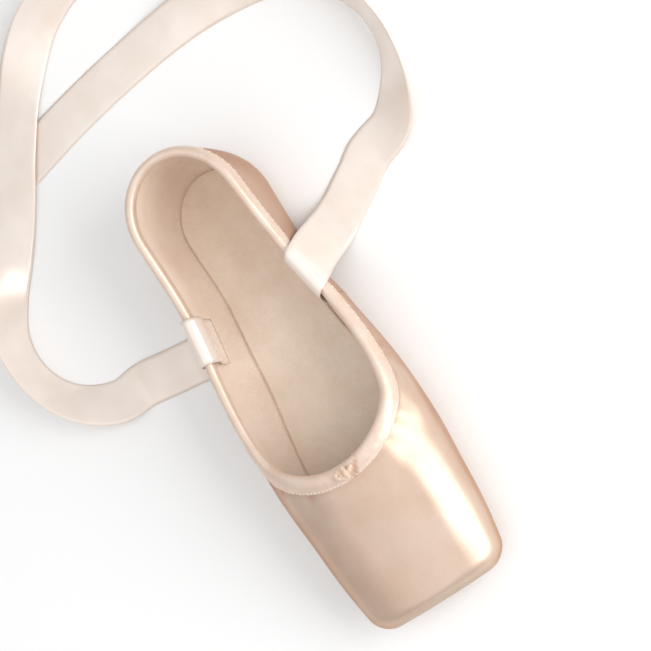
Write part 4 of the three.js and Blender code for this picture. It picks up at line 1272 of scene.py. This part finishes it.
def sewBinding():
    count = int(collarHalf / stitchSize["pitch"])
    u, t, _ = collarLine(count)
    run, _, down = collarFrame(u, t, lastPoint(u, t))
    wu, wt = walkLast(u, t, down, stitchSize["below"])
    spots = offLast(wu, wt, np.full(len(u), stitchSize["out"]))
    out = lastFacing(wu, wt)
    swing = math.radians(stitchSize["slew"]) * np.where(np.arange(len(u)) % 2 == 0, 1, -1)
    lines = run * np.cos(swing)[:, None] + down * np.sin(swing)[:, None]
    both = [(spots * f, lines * f, out * f) for f in (np.array([1, 1, 1]), np.array([1, -1, 1]))]
    keep = slice(1, -1)
    places, runs, faces = (np.vstack([side[k][keep] for side in both]) for k in range(3))
    sewStitches("bindingStitches", places, runs, faces, stitchSize)


sewBinding()
print("binding stitched")

# Knot of the drawstring: four short lengths of twisted cord; across, ahead and above its foot
cordSize = {
    "thick": 2.4,
    "ahead": 2.2,  # of the collar edge
    "foot": 1.15,
    "ply": 2,
    "lay": 4.2,  # length of one turn of the twist
    "groove": 0.13,
    "sides": 18,
    "steps": 56,
}
knotStrands = [
    [(0.7, -3.3, 1.4), (1.1, -2.1, 2.4), (1.3, -0.4, 3.1), (1.4, 1.2, 2.4), (1.2, 2.2, 1.5)],
    [
        (0.9, -0.9, 1.7), (-0.7, -2, 1.8), (-2.4, -2.2, 1.8), (-3.7, -1.5, 1.7), (-3.6, -0.4, 1.7),
        (-2.3, 0.4, 1.7), (-0.6, 1.1, 1.7), (1, 1, 1.7),
    ],
    [(1, 0.1, 1.8), (-0.7, -0.4, 1.7), (-2.4, -0.9, 1.6)],
    [(1.2, 0.3, 1.8), (2.6, -0.5, 1.8), (3.9, -1.3, 1.7), (5.1, -2.3, 1.6)],
]


def cordTube(path, steps, sides, radius):
    points = resample(path, steps)
    tangent = unit(np.gradient(points, axis=0))
    up = np.array([0.0, 0.0, 1.0])
    side = unit(np.cross(tangent, up + 1e-3))
    over = np.cross(side, tangent)
    turn = np.linspace(0, 2 * np.pi, sides, endpoint=False)
    gone = lengthsOf(points)
    twist = turn[None] + gone[:, None] / cordSize["lay"] * 2 * np.pi
    girthNow = radius * (1 - cordSize["groove"] * np.abs(np.sin(twist * cordSize["ply"] / 2)) ** 3)
    ends = np.minimum(gone, gone[-1] - gone)
    rounded = np.sqrt(np.clip(1 - (1 - np.clip(ends / radius, 0, 1)) ** 2, 0.02, 1))
    girthNow = girthNow * rounded[:, None]
    cosine, sine = np.cos(turn)[None, :, None], np.sin(turn)[None, :, None]
    ring = points[:, None] + girthNow[..., None] * (cosine * side[:, None] + sine * over[:, None])
    count = len(points)
    faces = [tuple(f) for f in gridFaces(count, sides, closedColumns=True)]
    faces += [tuple(range(sides))[::-1], tuple((count - 1) * sides + k for k in range(sides))]
    return ring.reshape(-1, 3), faces


def makeKnot():
    u, t = walkLast(np.array([throatU]), np.array([1.0]), np.array([[1.0, 0, 0]]), cordSize["ahead"])
    facing = lastFacing(u, t)[0] * (1, 0, 1)
    facing = facing / np.linalg.norm(facing)
    ahead = np.cross((0, 1, 0), facing)
    foot = offLast(u, t, np.array([cordSize["foot"]]))[0]
    points, faces = [], []
    for strand in knotStrands:
        curve = curveThrough([(forward, across, high) for across, forward, high in strand], 24, True)
        tube, made = cordTube(curve, cordSize["steps"], cordSize["sides"], cordSize["thick"] / 2)
        first = sum(len(p) for p in points)
        points.append(foot + tube @ np.stack([ahead, (0, 1, 0), facing]))
        faces += [tuple(k + first for k in f) for f in made]
    piece = newPiece("drawstringKnot", np.vstack(points), faces, cottonCord, weld=False)
    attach(piece, "root")
    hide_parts("drawstring_knot")


makeKnot()
print("drawstring tied")

# Sole and sock: flat pieces lofted along the shoe
plateSize = {"rows": 150, "columns": 30}
outsoleSize = {
    "edge": 0.9,
    "channel": 3.6,  # sewing channel in from the edge
    "channelWide": 0.5,
    "channelDeep": 0.28,
    "ballRub": (152.0, 46.0),  # worn spots: place from the heel, half length
    "heelRub": (32.0, 24.0),
}
sockSize = {"front": 220.0, "frontRound": 22.0, "thickness": 1.8, "edge": 0.6, "dish": 0.12}


def sockReach():
    heel = sectionAt(last["heelCentre"])
    return float(heel["tread"] * last["heelCentre"] / heel["half"])


def sockHalf(x):
    heelShare = np.clip((last["heelCentre"] - x) / sockReach(), 0, 1)
    frontShare = np.clip((sockSize["front"] - x) / sockSize["frontRound"], 0, 1)
    body = sectionAt(np.maximum(x, last["heelCentre"]))["tread"]
    return body * np.sqrt(1 - heelShare**2) * np.sqrt(1 - (1 - frontShare) ** 2)


def plateStations(back, front, backRound, frontRound, rows):
    endRows = rows // 5
    ease = 1 - np.cos(np.linspace(0, np.pi / 2, endRows))
    middle = np.linspace(back + backRound, front - frontRound, rows - 2 * endRows + 2)[1:-1]
    return np.concatenate([back + backRound * ease, middle, front - frontRound * ease[::-1]])


# one ring round each station: underside from edge to edge, then the top side back again
def platePiece(name, stations, half, low, thickness, edge, material, under, over):
    share = np.sin(np.linspace(-1, 1, plateSize["columns"]) * np.pi / 2)
    width = np.maximum(half, 1e-3)[:, None]
    inset = np.maximum(width - np.abs(share) * width, 0)
    roundOff = np.minimum(edge, width * 0.9)
    drop = roundOff * (1 - np.sqrt(np.clip(1 - (1 - np.clip(inset / roundOff, 0, 1)) ** 2, 0, 1)))
    y = share[None] * width
    x = np.broadcast_to(stations[:, None], y.shape)
    depthUnder, marksUnder = under(x, y, inset)
    bottom = np.stack([x, y, low[:, None] + drop + depthUnder], -1)
    high = (low + thickness)[:, None] - drop * 0.6 + over(x, y, inset)
    top = np.stack([x, y, np.maximum(high, bottom[..., 2])], -1)
    ring = np.concatenate([bottom, top[:, ::-1]], 1)
    faces = ringFaces(*ring.shape[:2])
    marks = {key: np.concatenate([v, v[:, ::-1] * (key == "edge")], 1) for key, v in marksUnder.items()}
    piece = newPiece(name, ring, [f[::-1] for f in faces], material, marks)
    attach(piece, "root")
    return piece


# relief of the tread with its marks: cut edge, sewing channel and worn spots
def outsoleUnder(x, y, inset):
    channel = np.exp(-(((inset - outsoleSize["channel"]) / outsoleSize["channelWide"]) ** 2))
    channel = channel * smooth(2, 6, np.abs(y) + inset)
    spots = (outsoleSize["ballRub"], outsoleSize["heelRub"])
    wornAndShaded = sum(smooth(0.0, 0.5, 1 - np.abs(x - place) / reach) for place, reach in spots)
    edge = 1 - smooth(0.2, 1.3, inset)
    marks = {"edge": np.clip(edge + 0.4 * channel, 0, 1), "rubbed": np.clip(wornAndShaded, 0, 1)}
    return channel * outsoleSize["channelDeep"], marks


def outsoleOver(x, y, inset):
    return np.zeros(x.shape)


def sockUnder(x, y, inset):
    return np.zeros(x.shape), {}


def sockOver(x, y, inset):
    return sockSize["dish"] * wobble(np.stack([x * 2, y * 2, y], -1)) * smooth(1, 4, inset)


def makeSole():
    x = plateStations(sole["back"], sole["front"], sole["backRound"], sole["frontRound"], plateSize["rows"])
    form = (x, soleHalf(x, 0), soleRise(x), sole["thickness"], outsoleSize["edge"])
    piece = platePiece("leatherOutsole", *form, soleLeather, outsoleUnder, outsoleOver)
    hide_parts("outsole")


def makeSock():
    reach = sockReach()
    back = last["heelCentre"] - reach
    x = plateStations(back, sockSize["front"], reach, sockSize["frontRound"], plateSize["rows"])
    low = soleRise(x) + sole["thickness"] + last["wall"] + 2 * last["gap"]
    form = (x, sockHalf(x), low, sockSize["thickness"], sockSize["edge"])
    piece = platePiece("sockInsole", *form, sockCanvas, sockUnder, sockOver)
    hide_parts("insole")


makeSole()
makeSock()
print("sole and sock cut")

# Ribbon ends are sewn to the lining with a small box of stitches
ribbonSewing = {
    "long": 2.1,
    "thread": 0.36,
    "slack": 0.1,
    "seed": 3,
    "pitch": 2.7,
    "inset": 2.2,
    "start": 1.6,  # from the ribbon's end
    "deep": 9.0,
    "off": 0.32,
}


def sewRibbon(name, centres, across, facing, side):
    gone = lengthsOf(centres)
    half = ribbonSize["width"] / 2 - ribbonSewing["inset"]
    start, deep = ribbonSewing["start"], ribbonSewing["deep"]
    line = np.array([(-half, start), (half, start), (half, deep), (-half, deep), (-half, start)], float)
    steps = int(lengthsOf(line)[-1] / ribbonSewing["pitch"])
    spots = resample(line, steps + 1)[:-1]

    def place(q):
        centre = np.stack([np.interp(q[:, 1], gone, centres[:, k]) for k in range(3)], -1)
        return centre + unit(across[0]) * q[:, :1]

    halfway = resample(line, 8 * steps + 1)[4::8][: len(spots)]  # between a stitch and the next
    inward = unit(facing[2]) * (1 if facing[2][1] * side < 0 else -1)
    points = place(spots) + inward * ribbonSewing["off"]
    runs = unit(place(halfway) + inward * ribbonSewing["off"] - points)
    faces = np.tile(inward, (len(points), 1))
    sewStitches(name, points, runs, faces, ribbonSewing)


sewRibbon("ribbonStitchesLeft", *leftSewn, 1)
sewRibbon("ribbonStitchesRight", *rightSewn, -1)
print("ribbons sewn")

# Studio: white floor, a tall softbox at the shoe's left, a broad one overhead, dim towards the horizon
studio = {
    "floor": rgb(249, 249, 249),
    "floorGrain": rgb(252, 252, 252),
    "floorHalf": 6.0,
    "horizon": 0.54,
    "zenith": 0.76,
    "exposure": 0.0,
}
lights = [
    dict(name="sideBox", place=(0.5, 0.85, 0.7), aim=(0.5, 0, 0.7), size=(1.2, 1.0), power=12.5),
    dict(name="overhead", place=(0.3, -0.3, 1.45), aim=(0, 0, 0.0), size=(1.6, 1.6), power=3.6),
]


def floorMaterial():
    material, shader, wire = newMaterial("paleFloor", {"Specular IOR Level": 0.2})
    grain = noise(wire, objectPlace(wire), 3.0, 2.0)
    colour = grain.tint(studio["floor"], studio["floorGrain"])
    plug(wire, shader, Base_Color=colour, Roughness=0.8 + grain * 0.1)
    return material


def makeStudio():
    half = studio["floorHalf"]
    mesh = bpy.data.meshes.new("floor")
    corners = [(-half, -half, 0), (half, -half, 0), (half, half, 0), (-half, half, 0)]
    mesh.from_pydata(corners, [], [(0, 1, 2, 3)])
    mesh.materials.append(floorMaterial())
    floor = bpy.data.objects.new("floor", mesh)
    bpy.context.collection.objects.link(floor)
    for row in lights:
        lamp = bpy.data.lights.new(row["name"], "AREA")
        lamp.shape = "RECTANGLE"
        lamp.size, lamp.size_y = row["size"]
        lamp.energy = row["power"]
        holder = bpy.data.objects.new(row["name"], lamp)
        bpy.context.collection.objects.link(holder)
        holder.location = row["place"]
        aim = Vector(row["aim"]) - Vector(row["place"])
        holder.rotation_euler = aim.to_track_quat("-Z", "Y").to_euler()
    world = bpy.data.worlds.new("studio")
    world.use_nodes = True
    wire = Wire(world.node_tree)
    direction = wire.node("ShaderNodeTexCoord", output=0)
    apart = wire.node("ShaderNodeSeparateXYZ", None, {0: direction}, 2)
    level = apart.node("ShaderNodeMapRange", None, {0: apart, 3: studio["horizon"], 4: studio["zenith"]})
    background = world.node_tree.nodes["Background"]
    background.inputs[0].default_value = (1, 1, 1, 1)
    world.node_tree.links.new(level.socket, background.inputs[1])
    bpy.context.scene.world = world
    bpy.context.scene.view_settings.view_transform = "Standard"
    bpy.context.scene.view_settings.exposure = studio["exposure"]


makeStudio()
print("studio lit")
